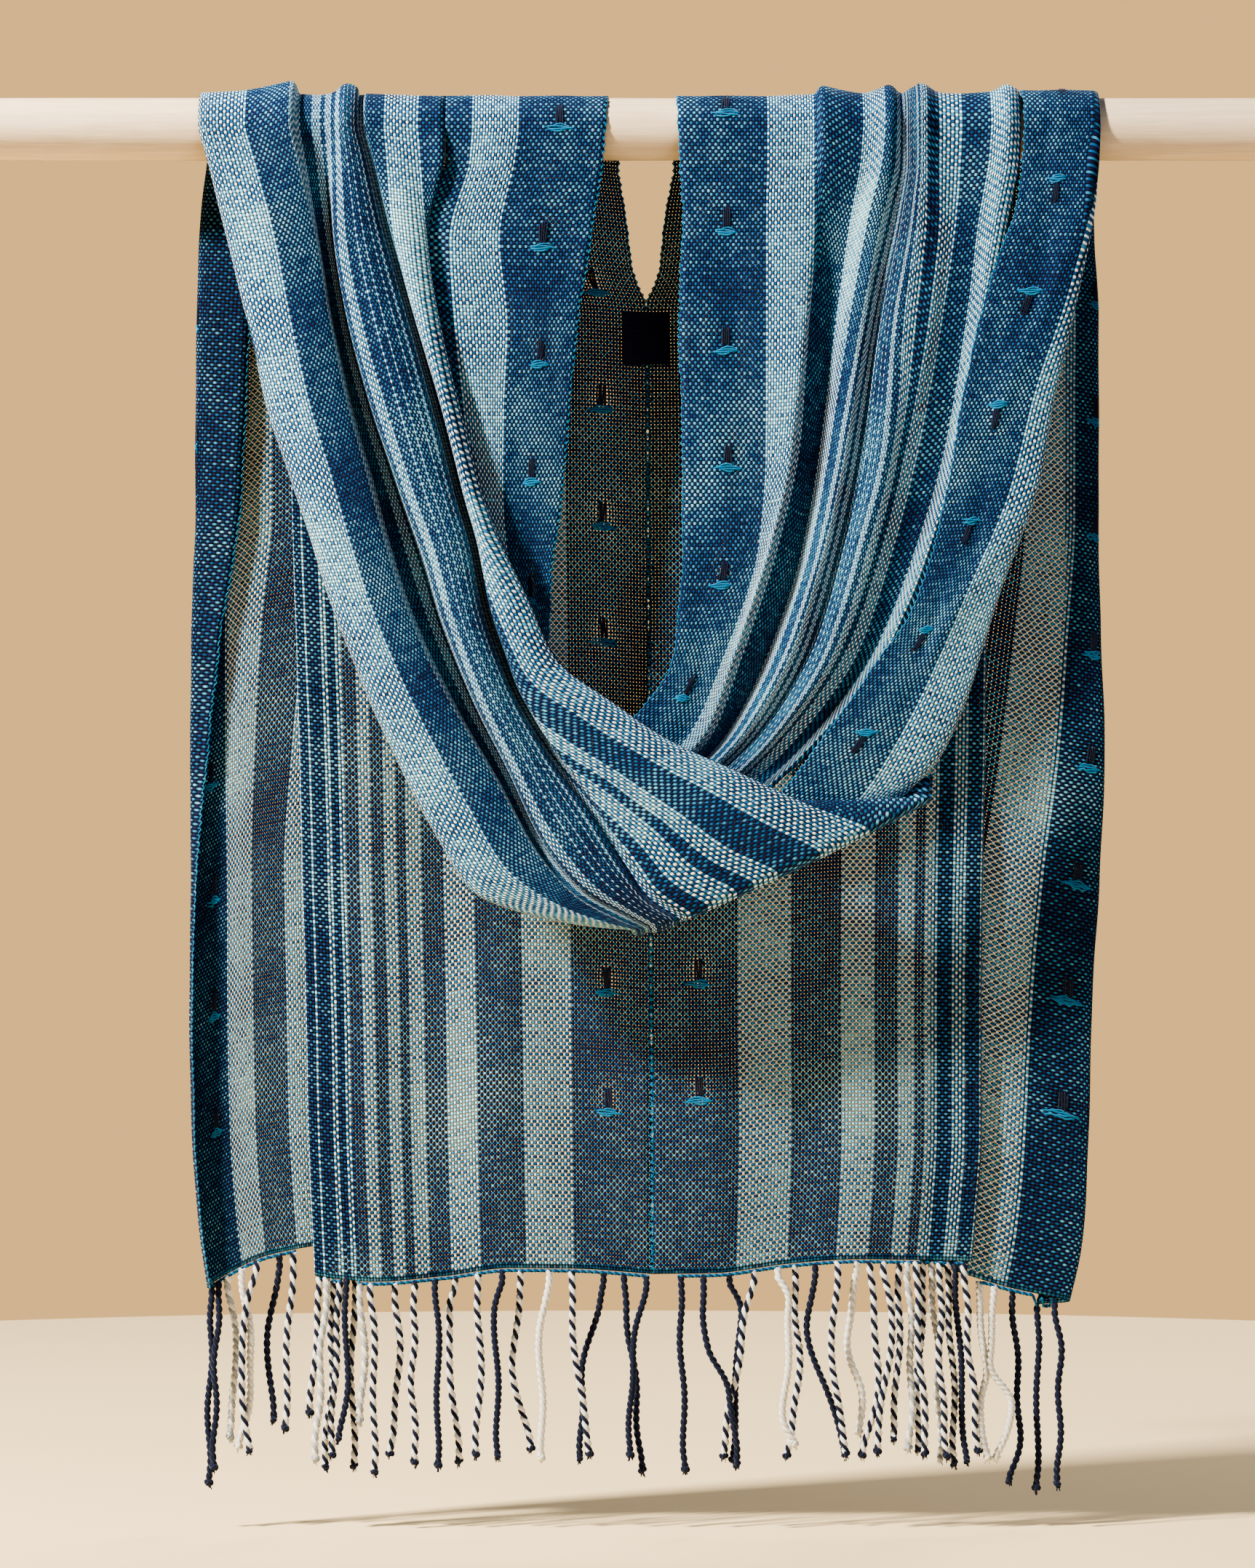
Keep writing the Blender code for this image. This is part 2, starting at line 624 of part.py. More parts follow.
def main():
    clear_scene()
    shawl = new_collection("Rebozo shawl")
    build_rod(shawl)
    build_left_swag(shawl)
    build_left_edge(shawl)
    build_right_arm(shawl)
    build_right_front(shawl)
    left_steps = (2, 2, 2, 1, 1, 1, 1, 2, 2, 2, 2, 2)
    right_steps = (2, 2, 2, 2, 2, 1, 1, 1, 2, 2, 2)
    left_hem = build_back(
        "back_left", BACK_LEFT, back_left_columns, HEM_LEFT, left_steps, CLOTH_PALE, shawl
    )
    right_hem = build_back(
        "back_right", BACK_RIGHT, back_right_columns, HEM_RIGHT, right_steps, CLOTH_PALE, shawl
    )
    build_label(shawl)
    build_fringe("fringe_left_outer", hem_between(left_hem, 2, 7), FRINGE_LEFT_OUTER, shawl)
    build_fringe("fringe_left", hem_between(left_hem, 11, 21), FRINGE_LEFT, shawl)
    build_fringe("fringe_right", hem_between(right_hem, 0, 11), FRINGE_RIGHT, shawl)
    build_fringe("fringe_right_outer", hem_between(right_hem, 13, 18), FRINGE_RIGHT_OUTER, shawl)


if __name__ == "__main__":
    main()
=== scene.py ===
"""Looks of a handwoven rebozo shawl that hangs over a wooden rod.

The drape is written in millimetres as seen from the front, a row for each section of a stretch of
cloth: X runs along the rod, Y away from the front and Z up, from the middle of the rod's axis.
Each stretch becomes a fine sheet whose UV map holds its place in the flat cloth, in metres:
U counts from the inner selvedge across the warp, and V along the warp.
"""

from __future__ import annotations

import logging
import math
import random
from collections import namedtuple
from collections.abc import Sequence
from dataclasses import dataclass, field
from enum import Enum

import bmesh
import bpy
import numpy as np
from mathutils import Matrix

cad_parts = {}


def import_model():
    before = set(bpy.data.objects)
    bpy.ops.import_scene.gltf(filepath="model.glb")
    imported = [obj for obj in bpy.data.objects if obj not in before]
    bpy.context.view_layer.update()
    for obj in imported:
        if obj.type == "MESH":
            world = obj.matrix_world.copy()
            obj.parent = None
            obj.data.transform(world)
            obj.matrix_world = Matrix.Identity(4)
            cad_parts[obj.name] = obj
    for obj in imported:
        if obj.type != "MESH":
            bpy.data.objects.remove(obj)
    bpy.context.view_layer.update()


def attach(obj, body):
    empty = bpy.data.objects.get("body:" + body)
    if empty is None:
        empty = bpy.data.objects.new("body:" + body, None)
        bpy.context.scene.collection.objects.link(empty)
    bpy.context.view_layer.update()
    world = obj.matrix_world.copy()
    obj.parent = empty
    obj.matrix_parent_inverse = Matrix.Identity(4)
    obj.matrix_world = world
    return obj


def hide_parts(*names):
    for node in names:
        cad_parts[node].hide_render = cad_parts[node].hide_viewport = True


LOG = logging.getLogger("rebozo")

MM = 0.001
BODY = "root"

ROD_RADIUS = 25.0
SHELL = 0.8
WRAP_RADIUS = 26.52
ROD_STEPS = 9
PLEAT_LIFT = 4.6
LAYER = 5.0
SEAM_GAP = 0.3
PANEL_WIDTH = 550.0
WARP_PITCH = 2.3
NET_PITCH = 2.6
WEFT_PITCH = 2.85

Point = tuple[float, ...]
Value = bpy.types.NodeSocket | float | Point


class Slot(Enum):
    """Material slots of the record."""

    CLOTH = "cloth"
    FRINGE = "fringe"
    LABEL = "label"
    ROD = "rod"


class Yarn(Enum):
    """Yarns of the cords and edges, in the order of their material slots."""

    NAVY = 0
    CREAM = 1
    TEAL = 2
    DEEP = 3
    PALE = 4


class Sketch:
    """Short calls that add nodes to one shader tree and link them."""

    MIX_LOW, MIX_HIGH, MIX_RESULT = 6, 7, 2

    def __init__(self, tree: bpy.types.NodeTree) -> None:
        """Holds the tree.

        Args:
            tree: The material's tree or the group's.
        """
        self.tree = tree

    def node(self, kind: str, **settings: object) -> bpy.types.Node:
        """Adds a node.

        Args:
            kind: The node's type name.
            settings: Properties to set on it.

        Returns:
            The new node.
        """
        made = self.tree.nodes.new(kind)
        for key, value in settings.items():
            setattr(made, key, value)
        return made

    def put(self, socket: bpy.types.NodeSocket, value: Value) -> None:
        """Links a socket to the value, or sets the value on it.

        Args:
            socket: The input to fill.
            value: A socket, a number, a colour or a vector.
        """
        if isinstance(value, bpy.types.NodeSocket):
            self.tree.links.new(value, socket)
        elif isinstance(value, tuple) and len(value) == 3 and socket.type == "RGBA":
            socket.default_value = (*value, 1.0)
        else:
            socket.default_value = value

    def math(self, operation: str, *values: Value, clamp: bool = False) -> bpy.types.NodeSocket:
        """Adds a Math node.

        Args:
            operation: The operation's name.
            values: Sockets or numbers, in order.
            clamp: Whether the result is kept from 0 to 1.

        Returns:
            The result's socket.
        """
        made = self.node("ShaderNodeMath", operation=operation, use_clamp=clamp)
        for socket, value in zip(made.inputs, values):
            self.put(socket, value)
        return made.outputs[0]

    def blend(self, share: Value, low: Value, high: Value, mode: str = "MIX") -> Value:
        """Adds a colour Mix node.

        Args:
            share: How much of the second colour shows.
            low: The first colour.
            high: The second colour.
            mode: The blend mode.

        Returns:
            The mixed colour's socket.
        """
        made = self.node("ShaderNodeMix", data_type="RGBA", blend_type=mode)
        self.put(made.inputs[0], share)
        self.put(made.inputs[self.MIX_LOW], low)
        self.put(made.inputs[self.MIX_HIGH], high)
        return made.outputs[self.MIX_RESULT]

    def shaded(self, color: Value, share: Value) -> bpy.types.NodeSocket:
        """Multiplies a colour by a value."""
        return self.blend(1.0, color, self.vector(share, share, share), "MULTIPLY")

    def bump(self, shader: bpy.types.Node, height: Value, strength: float, distance: float) -> None:
        """Lets a height turn the shader's normal.

        Args:
            shader: The Principled shader.
            height: The height's socket.
            strength: How strongly it shows.
            distance: How far a height of 1 stands out, in metres.
        """
        made = self.node("ShaderNodeBump")
        made.inputs["Strength"].default_value = strength
        made.inputs["Distance"].default_value = distance
        self.put(made.inputs["Height"], height)
        self.put(shader.inputs["Normal"], made.outputs[0])

    def vector(self, *values: Value) -> bpy.types.NodeSocket:
        """Joins three values into a vector.

        Args:
            values: Its x, y and z.

        Returns:
            The vector's socket.
        """
        made = self.node("ShaderNodeCombineXYZ")
        for socket, value in zip(made.inputs, values):
            self.put(socket, value)
        return made.outputs[0]

    def noise(
        self, vector: Value, scale: float, detail: float = 2.0, rough: float = 0.5
    ) -> bpy.types.NodeSocket:
        """Adds a noise texture.

        Args:
            vector: The place it is read at.
            scale: How fine it is.
            detail: How many finer layers it has.
            rough: How strong they are.

        Returns:
            Its value's socket.
        """
        made = self.node("ShaderNodeTexNoise")
        self.put(made.inputs["Vector"], vector)
        made.inputs["Scale"].default_value = scale
        made.inputs["Detail"].default_value = detail
        made.inputs["Roughness"].default_value = rough
        return made.outputs[0]

    def ramp(self, value: Value, stops: Sequence[tuple], constant: bool = False) -> Value:
        """Adds a colour ramp.

        Args:
            value: The socket that drives it.
            stops: Pairs of place and colour.
            constant: Whether the colours step and don't blend.

        Returns:
            The colour's socket.
        """
        made = self.node("ShaderNodeValToRGB")
        made.color_ramp.interpolation = "CONSTANT" if constant else "LINEAR"
        elements = made.color_ramp.elements
        while len(elements) < len(stops):
            elements.new(1.0)
        for element, (place, color) in zip(elements, stops):
            element.position = place
            element.color = (*color, 1.0)
        self.put(made.inputs[0], value)
        return made.outputs[0]

    def use(self, group: bpy.types.NodeTree, **values: Value) -> bpy.types.Node:
        """Places a node group and fills its inputs.

        Args:
            group: The group's tree.
            values: Input names, with underscores for spaces, and their values.

        Returns:
            The group's node.
        """
        made = self.node("ShaderNodeGroup", node_tree=group)
        for key, value in values.items():
            self.put(made.inputs[key.replace("_", " ")], value)
        return made


def new_group(
    name: str, inputs: Sequence[tuple], outputs: Sequence[tuple]
) -> tuple[Sketch, bpy.types.Node, bpy.types.Node]:
    """Starts a shader node group.

    Args:
        name: The group's name.
        inputs: Triples of name, socket type and default.
        outputs: Pairs of name and socket type.

    Returns:
        The sketch of its tree, its input node and its output node.
    """
    tree = bpy.data.node_groups.new(name, "ShaderNodeTree")
    for label, kind, default in inputs:
        socket = tree.interface.new_socket(label, in_out="INPUT", socket_type=kind)
        if default is not None:
            socket.default_value = default
    for label, kind in outputs:
        tree.interface.new_socket(label, in_out="OUTPUT", socket_type=kind)
    sketch = Sketch(tree)
    return sketch, sketch.node("NodeGroupInput"), sketch.node("NodeGroupOutput")


FLOAT = "NodeSocketFloat"
VECTOR = "NodeSocketVector"
THREAD_CROWN = 0.5
THREAD_BEND = 0.55
OFF_THREAD = -3.0
HEIGHT_GAIN = 0.62
HEIGHT_BASE = 0.35


def plain_weave_group() -> bpy.types.NodeTree:
    """Over-and-under weave: which thread is on top, how high it stands and where the cloth is open.

    Returns:
        The group's tree.
    """
    sketch, source, out = new_group(
        "Plain weave",
        (
            ("Across", FLOAT, 0.0),
            ("Along", FLOAT, 0.0),
            ("Warp pitch", FLOAT, WARP_PITCH * MM),
            ("Weft pitch", FLOAT, WEFT_PITCH * MM),
            ("Warp share", FLOAT, 0.66),
            ("Weft share", FLOAT, 0.64),
            ("Sway", FLOAT, 0.0005),
            ("Slub", FLOAT, 0.45),
        ),
        (
            ("Warp over", FLOAT),
            ("Height", FLOAT),
            ("Hole", FLOAT),
            ("Warp place", FLOAT),
            ("Weft row", FLOAT),
        ),
    )
    give = source.outputs
    place = sketch.vector(give["Across"], give["Along"], 0.0)
    sway_across = sketch.math("SUBTRACT", sketch.noise(place, 55.0, 1.0), 0.5)
    shifted = sketch.vector(give["Along"], give["Across"], 3.0)
    sway_along = sketch.math("SUBTRACT", sketch.noise(shifted, 70.0, 1.0), 0.5)
    across = sketch.math("MULTIPLY_ADD", sway_across, give["Sway"], give["Across"])
    along = sketch.math("MULTIPLY_ADD", sway_along, give["Sway"], give["Along"])
    a = sketch.math("DIVIDE", across, give["Warp pitch"])
    b = sketch.math("DIVIDE", along, give["Weft pitch"])
    rows = []
    for value in (a, b):
        whole = sketch.math("FLOOR", value)
        part = sketch.math("SUBTRACT", sketch.math("FRACT", value), 0.5)
        off = sketch.math("MULTIPLY", sketch.math("ABSOLUTE", part), 2.0)
        rows.append((whole, off))
    (warp, warp_off), (weft, weft_off) = rows
    odd = sketch.math("PINGPONG", sketch.math("ADD", warp, weft), 1.0)
    sign = sketch.math("MULTIPLY_ADD", odd, -2.0, 1.0)
    crest_a = sketch.math("COSINE", sketch.math("MULTIPLY", warp_off, math.pi / 2))
    crest_b = sketch.math("COSINE", sketch.math("MULTIPLY", weft_off, math.pi / 2))
    warp_bend = sketch.math("MULTIPLY", sign, crest_b)
    weft_bend = sketch.math("MULTIPLY", sign, crest_a)
    slub_place = sketch.vector(sketch.math("MULTIPLY", warp, 7.3), give["Along"], 0.0)
    warp_slub = sketch.math("SUBTRACT", sketch.noise(slub_place, 150.0, 1.0), 0.5)
    slub_place = sketch.vector(give["Across"], sketch.math("MULTIPLY", weft, 5.9), 9.0)
    weft_slub = sketch.math("SUBTRACT", sketch.noise(slub_place, 150.0, 1.0), 0.5)
    heights, gaps = [], []
    for off, share, slub, bend, way in (
        (warp_off, "Warp share", warp_slub, warp_bend, THREAD_BEND),
        (weft_off, "Weft share", weft_slub, weft_bend, -THREAD_BEND),
    ):
        width = sketch.math("MULTIPLY_ADD", slub, give["Slub"], give[share])
        ratio = sketch.math("DIVIDE", off, width)
        square = sketch.math("SUBTRACT", 1.0, sketch.math("MULTIPLY", ratio, ratio), clamp=True)
        gap = sketch.math("GREATER_THAN", off, width)
        round_top = sketch.math("MULTIPLY", sketch.math("SQRT", square), THREAD_CROWN)
        bent = sketch.math("MULTIPLY_ADD", bend, way, round_top)
        heights.append(sketch.math("MULTIPLY_ADD", gap, OFF_THREAD, bent))
        gaps.append(gap)
    top = sketch.math("MAXIMUM", *heights)
    height = sketch.math("MULTIPLY_ADD", top, HEIGHT_GAIN, HEIGHT_BASE, clamp=True)
    middle = sketch.math("ADD", warp, 0.5)
    sketch.put(out.inputs["Warp over"], sketch.math("GREATER_THAN", *heights))
    sketch.put(out.inputs["Height"], height)
    sketch.put(out.inputs["Hole"], sketch.math("MULTIPLY", *gaps))
    sketch.put(out.inputs["Warp place"], sketch.math("MULTIPLY", middle, give["Warp pitch"]))
    sketch.put(out.inputs["Weft row"], weft)
    return sketch.tree


STRIPES = (
    (0, 0), (68, 1), (108, 0), (148, 1), (172, 0), (192, 1), (204, 0), (212, 1), (224, 0),
    (233, 1), (244, 0), (255, 1), (258.5, 0), (266, 1), (269.5, 0),
)


def stripe_group() -> bpy.types.NodeTree:
    """Warp stripes of a panel, the same from both selvedges: 1 where the warp is white.

    Returns:
        The group's tree.
    """
    sketch, source, out = new_group("Warp stripes", (("Across", FLOAT, 0.0),), (("White", FLOAT),))
    across = source.outputs["Across"]
    far = sketch.math("SUBTRACT", PANEL_WIDTH * MM, across)
    near = sketch.math("MINIMUM", across, far)
    share = sketch.math("DIVIDE", near, PANEL_WIDTH * MM / 2)
    stops = [(place / (PANEL_WIDTH / 2), (white,) * 3) for place, white in STRIPES]
    sketch.put(out.inputs["White"], sketch.ramp(share, stops, constant=True))
    return sketch.tree


def yarn_tone_group() -> bpy.types.NodeTree:
    """Space-dyed weft: deep blue, teal and turquoise that change along each row.

    Returns:
        The group's tree.
    """
    sketch, source, out = new_group(
        "Space-dyed weft", (("Across", FLOAT, 0.0), ("Row", FLOAT, 0.0)), (("Tone", FLOAT),)
    )
    across = sketch.math("MULTIPLY", source.outputs["Across"], 75.0)
    row = sketch.math("MULTIPLY", source.outputs["Row"], 0.83)
    fine = sketch.noise(sketch.vector(across, row, 0.0), 1.0, 3.0, 0.6)
    wide_across = sketch.math("MULTIPLY", source.outputs["Across"], 9.0)
    wide_row = sketch.math("MULTIPLY", source.outputs["Row"], 0.03)
    wide = sketch.noise(sketch.vector(wide_across, wide_row, 7.0), 1.0, 2.0, 0.5)
    half = sketch.math("MULTIPLY", wide, 0.55)
    sketch.put(out.inputs["Tone"], sketch.math("MULTIPLY_ADD", fine, 0.65, half))
    return sketch.tree


MARK_CENTRE = 37.0
FAR_CENTRE = 502.0
MARK_PITCH = 94.0
PULL_REACH = (9.0, 13.0)
PINCH = -0.3


def pulled_group() -> bpy.types.NodeTree:
    """Where the weave is pulled open round the brocade marks beside both selvedges.

    Returns:
        The group's tree.
    """
    sketch, source, out = new_group(
        "Pulled weave",
        (
            ("Across", FLOAT, 0.0),
            ("Along", FLOAT, 0.0),
            ("Near start", FLOAT, 0.0),
            ("Far start", FLOAT, 0.0),
        ),
        (("Pull", FLOAT), ("Pinch", FLOAT)),
    )
    give = source.outputs
    is_far = sketch.math("GREATER_THAN", give["Across"], PANEL_WIDTH * MM / 2)
    far = sketch.math("SUBTRACT", PANEL_WIDTH * MM, give["Across"])
    near = sketch.math("MINIMUM", give["Across"], far)
    inset = (PANEL_WIDTH - FAR_CENTRE - MARK_CENTRE) * MM
    centre = sketch.math("MULTIPLY_ADD", is_far, inset, MARK_CENTRE * MM)
    x = sketch.math("SUBTRACT", near, centre)
    change = sketch.math("SUBTRACT", give["Far start"], give["Near start"])
    start = sketch.math("MULTIPLY_ADD", is_far, change, give["Near start"])
    offset = sketch.math("SUBTRACT", give["Along"], start)
    begun = sketch.math("GREATER_THAN", offset, -0.5 * MARK_PITCH * MM)
    ahead = sketch.math("ADD", offset, MARK_PITCH * MM * 20.5)
    turn = sketch.math("MODULO", ahead, MARK_PITCH * MM)
    y = sketch.math("SUBTRACT", turn, MARK_PITCH * MM / 2)
    squares = [
        sketch.math("POWER", sketch.math("DIVIDE", sketch.math("ABSOLUTE", off), reach * MM), 2.0)
        for off, reach in zip((x, y), PULL_REACH)
    ]
    bell = sketch.math("EXPONENT", sketch.math("MULTIPLY", sketch.math("ADD", *squares), -1.0))
    fade = sketch.math("MULTIPLY", bell, begun)
    side = sketch.math("MULTIPLY_ADD", is_far, -2.0, 1.0)
    pinch = sketch.math("MULTIPLY", sketch.math("MULTIPLY", x, side), fade)
    sketch.put(out.inputs["Pull"], fade)
    sketch.put(out.inputs["Pinch"], sketch.math("MULTIPLY", pinch, PINCH))
    return sketch.tree


def fibre_group() -> bpy.types.NodeTree:
    """Loose fibre look of a spun yarn, from its place on the object.

    Returns:
        The group's tree.
    """
    sketch, source, out = new_group(
        "Spun fibre", (("Place", VECTOR, None), ("Depth", FLOAT, 0.35)), (("Shade", FLOAT),)
    )
    streak = sketch.noise(source.outputs["Place"], 900.0, 3.0, 0.65)
    blotch = sketch.noise(source.outputs["Place"], 90.0, 2.0, 0.5)
    both = sketch.math("MULTIPLY_ADD", blotch, 0.6, sketch.math("MULTIPLY", streak, 0.7))
    centred = sketch.math("SUBTRACT", both, 0.65)
    shade = sketch.math("MULTIPLY_ADD", centred, source.outputs["Depth"], 1.0)
    sketch.put(out.inputs["Shade"], shade)
    return sketch.tree


def grain_group() -> bpy.types.NodeTree:
    """Long straight softwood grain along X.

    Returns:
        The group's tree.
    """
    sketch, source, out = new_group(
        "Wood grain", (("Place", VECTOR, None),), (("Grain", FLOAT), ("Pore", FLOAT))
    )
    mapping = sketch.node("ShaderNodeMapping")
    sketch.put(mapping.inputs["Vector"], source.outputs["Place"])
    mapping.inputs["Scale"].default_value = (1.6, 26.0, 26.0)
    rings = sketch.noise(mapping.outputs[0], 2.2, 3.0, 0.55)
    bands = sketch.math("PINGPONG", sketch.math("MULTIPLY", rings, 5.0), 0.5)
    sketch.put(out.inputs["Grain"], sketch.math("MULTIPLY", bands, 2.0))
    fine = sketch.node("ShaderNodeMapping")
    sketch.put(fine.inputs["Vector"], source.outputs["Place"])
    fine.inputs["Scale"].default_value = (30.0, 700.0, 700.0)
    sketch.put(out.inputs["Pore"], sketch.noise(fine.outputs[0], 1.0, 2.0, 0.6))
    return sketch.tree


@dataclass
class Groups:
    """The shared node groups, each built once."""

    weave: bpy.types.NodeTree = field(default_factory=plain_weave_group)
    stripes: bpy.types.NodeTree = field(default_factory=stripe_group)
    weft: bpy.types.NodeTree = field(default_factory=yarn_tone_group)
    pulled: bpy.types.NodeTree = field(default_factory=pulled_group)
    fibre: bpy.types.NodeTree = field(default_factory=fibre_group)
    grain: bpy.types.NodeTree = field(default_factory=grain_group)


def new_material(name: str) -> tuple[bpy.types.Material, Sketch, bpy.types.Node]:
    """Starts a material.

    Args:
        name: The material's name.

    Returns:
        The material, the sketch of its tree and its Principled shader.
    """
    made = bpy.data.materials.new(name)
    made.use_nodes = True
    return made, Sketch(made.node_tree), made.node_tree.nodes["Principled BSDF"]


@dataclass(frozen=True)
class Weave:
    """Finish of one stretch of cloth: where its brocade marks start and how open it is.

    Attributes:
        name: The material's name.
        near_start: Place along the warp of a mark beside the inner selvedge, in mm.
        far_start: The same beside the outer selvedge.
        hem: Whether V counts from a hem, which is woven close.
        warp_share: How much of its pitch a warp thread fills.
        weft_share: The same for the weft.
        glow: How much of the light from behind comes through the white warp.
        warp_pitch: Distance between warp threads, in mm.
        lift: Brightness of the colours beside the fronts'. It scales the painted shade and highlight,
            and below 1 it darkens the whole stretch as painted shade.
        open_until: Place across, in mm, beyond which the cloth is beaten close.
    """

    name: str
    near_start: float
    far_start: float
    hem: bool = False
    warp_share: float = 0.72
    weft_share: float = 0.90
    glow: float = 0.0
    warp_pitch: float = WARP_PITCH
    lift: float = 1.0
    open_until: float = PANEL_WIDTH

    WEFT_TONES = (
        (0.30, (0.003, 0.013, 0.050)),
        (0.45, (0.008, 0.044, 0.125)),
        (0.56, (0.022, 0.110, 0.25)),
        (0.66, (0.075, 0.29, 0.46)),
        (0.80, (0.22, 0.58, 0.70)),
    )
    NAVY_WARP = (0.016, 0.015, 0.058)
    WHITE_WARP = (0.70, 0.80, 0.79)
    HEM_DEPTH = 0.004
    PULL_DEPTH = 0.22
    # Painted shade and highlight of the threads: the colour is darkened with the weave's height down
    # into the crevices, and raised above the yarn's own colour on the crests.
    CREST_POWER = 3.2
    CREST_PAINTED_HIGHLIGHT = 1.6
    CREVICE_PAINTED_SHADE = 0.02
    RELIEF = 0.8
    THREAD_HEIGHT = 0.0010

    def material(self, groups: Groups) -> bpy.types.Material:
        """Builds the material.

        Args:
            groups: The shared node groups.

        Returns:
            The material.
        """
        made, sketch, shader = new_material(self.name)
        place = sketch.node("ShaderNodeUVMap", uv_map="Cloth")
        split = sketch.node("ShaderNodeSeparateXYZ")
        sketch.put(split.inputs[0], place.outputs[0])
        across, along = split.outputs[0], split.outputs[1]
        pulled = sketch.use(
            groups.pulled,
            Across=across,
            Along=along,
            Near_start=self.near_start * MM,
            Far_start=self.far_start * MM,
        ).outputs
        pull = sketch.math("MULTIPLY", pulled["Pull"], self.PULL_DEPTH)
        weave = sketch.use(
            groups.weave,
            Across=sketch.math("ADD", across, pulled["Pinch"]),
            Along=along,
            Warp_pitch=self.warp_pitch * MM,
            Warp_share=sketch.math("SUBTRACT", self.warp_share, pull),
            Weft_share=sketch.math("SUBTRACT", self.weft_share, pull),
        ).outputs
        white = sketch.use(groups.stripes, Across=weave["Warp place"]).outputs["White"]
        tone = sketch.use(groups.weft, Across=across, Row=weave["Weft row"]).outputs["Tone"]
        teal = sketch.ramp(tone, self.WEFT_TONES)
        fleck = sketch.noise(sketch.vector(weave["Warp place"], along, 0.0), 260.0, 2.0, 0.6)
        shade = sketch.math("MULTIPLY_ADD", fleck, 0.7, 0.65)
        navy = sketch.shaded(self.NAVY_WARP, shade)
        warp = sketch.blend(white, navy, self.WHITE_WARP)
        over = weave["Warp over"]
        loose = sketch.math("LESS_THAN", across, self.open_until * MM)
        open_share = sketch.math("MULTIPLY", weave["Hole"], loose)
        if self.hem:
            at_hem = sketch.math("LESS_THAN", along, self.HEM_DEPTH)
            over = sketch.math("MULTIPLY", over, sketch.math("MULTIPLY_ADD", at_hem, -0.8, 1.0))
            solid = sketch.math("SUBTRACT", 1.0, at_hem)
            open_share = sketch.math("MULTIPLY", open_share, solid)
        color = sketch.blend(over, teal, warp)
        # Painted shade in the crevices between threads and painted highlight on their crests, both
        # from the weave's height.
        height = weave["Height"]
        crest = sketch.math("POWER", height, self.CREST_POWER)
        # lift scales this painted shade and highlight, and below 1 it darkens the whole stretch as
        # painted shade.
        gain, least = self.CREST_PAINTED_HIGHLIGHT * self.lift, self.CREVICE_PAINTED_SHADE * self.lift
        painted_thread_shade = sketch.math("MULTIPLY_ADD", crest, gain, least)
        sketch.put(shader.inputs["Base Color"], sketch.shaded(color, painted_thread_shade))
        sketch.put(shader.inputs["Alpha"], sketch.math("SUBTRACT", 1.0, open_share))
        sketch.bump(shader, height, self.RELIEF, self.THREAD_HEIGHT)
        shader.inputs["Roughness"].default_value = 0.88
        shader.inputs["Sheen Weight"].default_value = 0.06
        shader.inputs["Sheen Roughness"].default_value = 0.4
        shader.inputs["Specular IOR Level"].default_value = 0.2
        if self.glow:
            self.let_light_through(sketch, shader, sketch.math("MULTIPLY", over, white), open_share)
        return made

    def let_light_through(
        self, sketch: Sketch, shader: bpy.types.Node, thin: Value, open_share: Value
    ) -> None:
        """Mixes in the light that the white warp passes on from behind.

        Args:
            sketch: The material's sketch.
            shader: Its Principled shader.
            thin: Where the white warp lies on top.
            open_share: Where the cloth is open.
        """
        through = sketch.node("ShaderNodeBsdfTranslucent")
        through.inputs["Color"].default_value = (*self.WHITE_WARP, 1.0)
        closed = sketch.math("SUBTRACT", 1.0, open_share)
        share = sketch.math("MULTIPLY", sketch.math("MULTIPLY", thin, closed), self.glow)
        mixed = sketch.node("ShaderNodeMixShader")
        sketch.put(mixed.inputs[0], share)
        sketch.tree.links.new(shader.outputs[0], mixed.inputs[1])
        sketch.tree.links.new(through.outputs[0], mixed.inputs[2])
        output = next(n for n in sketch.tree.nodes if n.type == "OUTPUT_MATERIAL")
        sketch.tree.links.new(mixed.outputs[0], output.inputs["Surface"])


FIBRE_HEIGHT = 0.0004


@dataclass(frozen=True)
class SpunYarn:
    """Finish of a spun cotton yarn.

    Attributes:
        name: The material's name.
        color: The dye's colour.
        depth: How strongly the fibres change its shade.
    """

    name: str
    color: tuple[float, float, float]
    depth: float = 0.9

    def material(self, groups: Groups) -> bpy.types.Material:
        """Builds the material.

        Args:
            groups: The shared node groups.

        Returns:
            The material.
        """
        made, sketch, shader = new_material(self.name)
        place = sketch.node("ShaderNodeTexCoord").outputs["Object"]
        shade = sketch.use(groups.fibre, Place=place, Depth=self.depth).outputs["Shade"]
        sketch.put(shader.inputs["Base Color"], sketch.shaded(self.color, shade))
        sketch.bump(shader, shade, 0.4, FIBRE_HEIGHT)
        shader.inputs["Roughness"].default_value = 0.9
        shader.inputs["Sheen Weight"].default_value = 0.2
        shader.inputs["Specular IOR Level"].default_value = 0.2
        return made


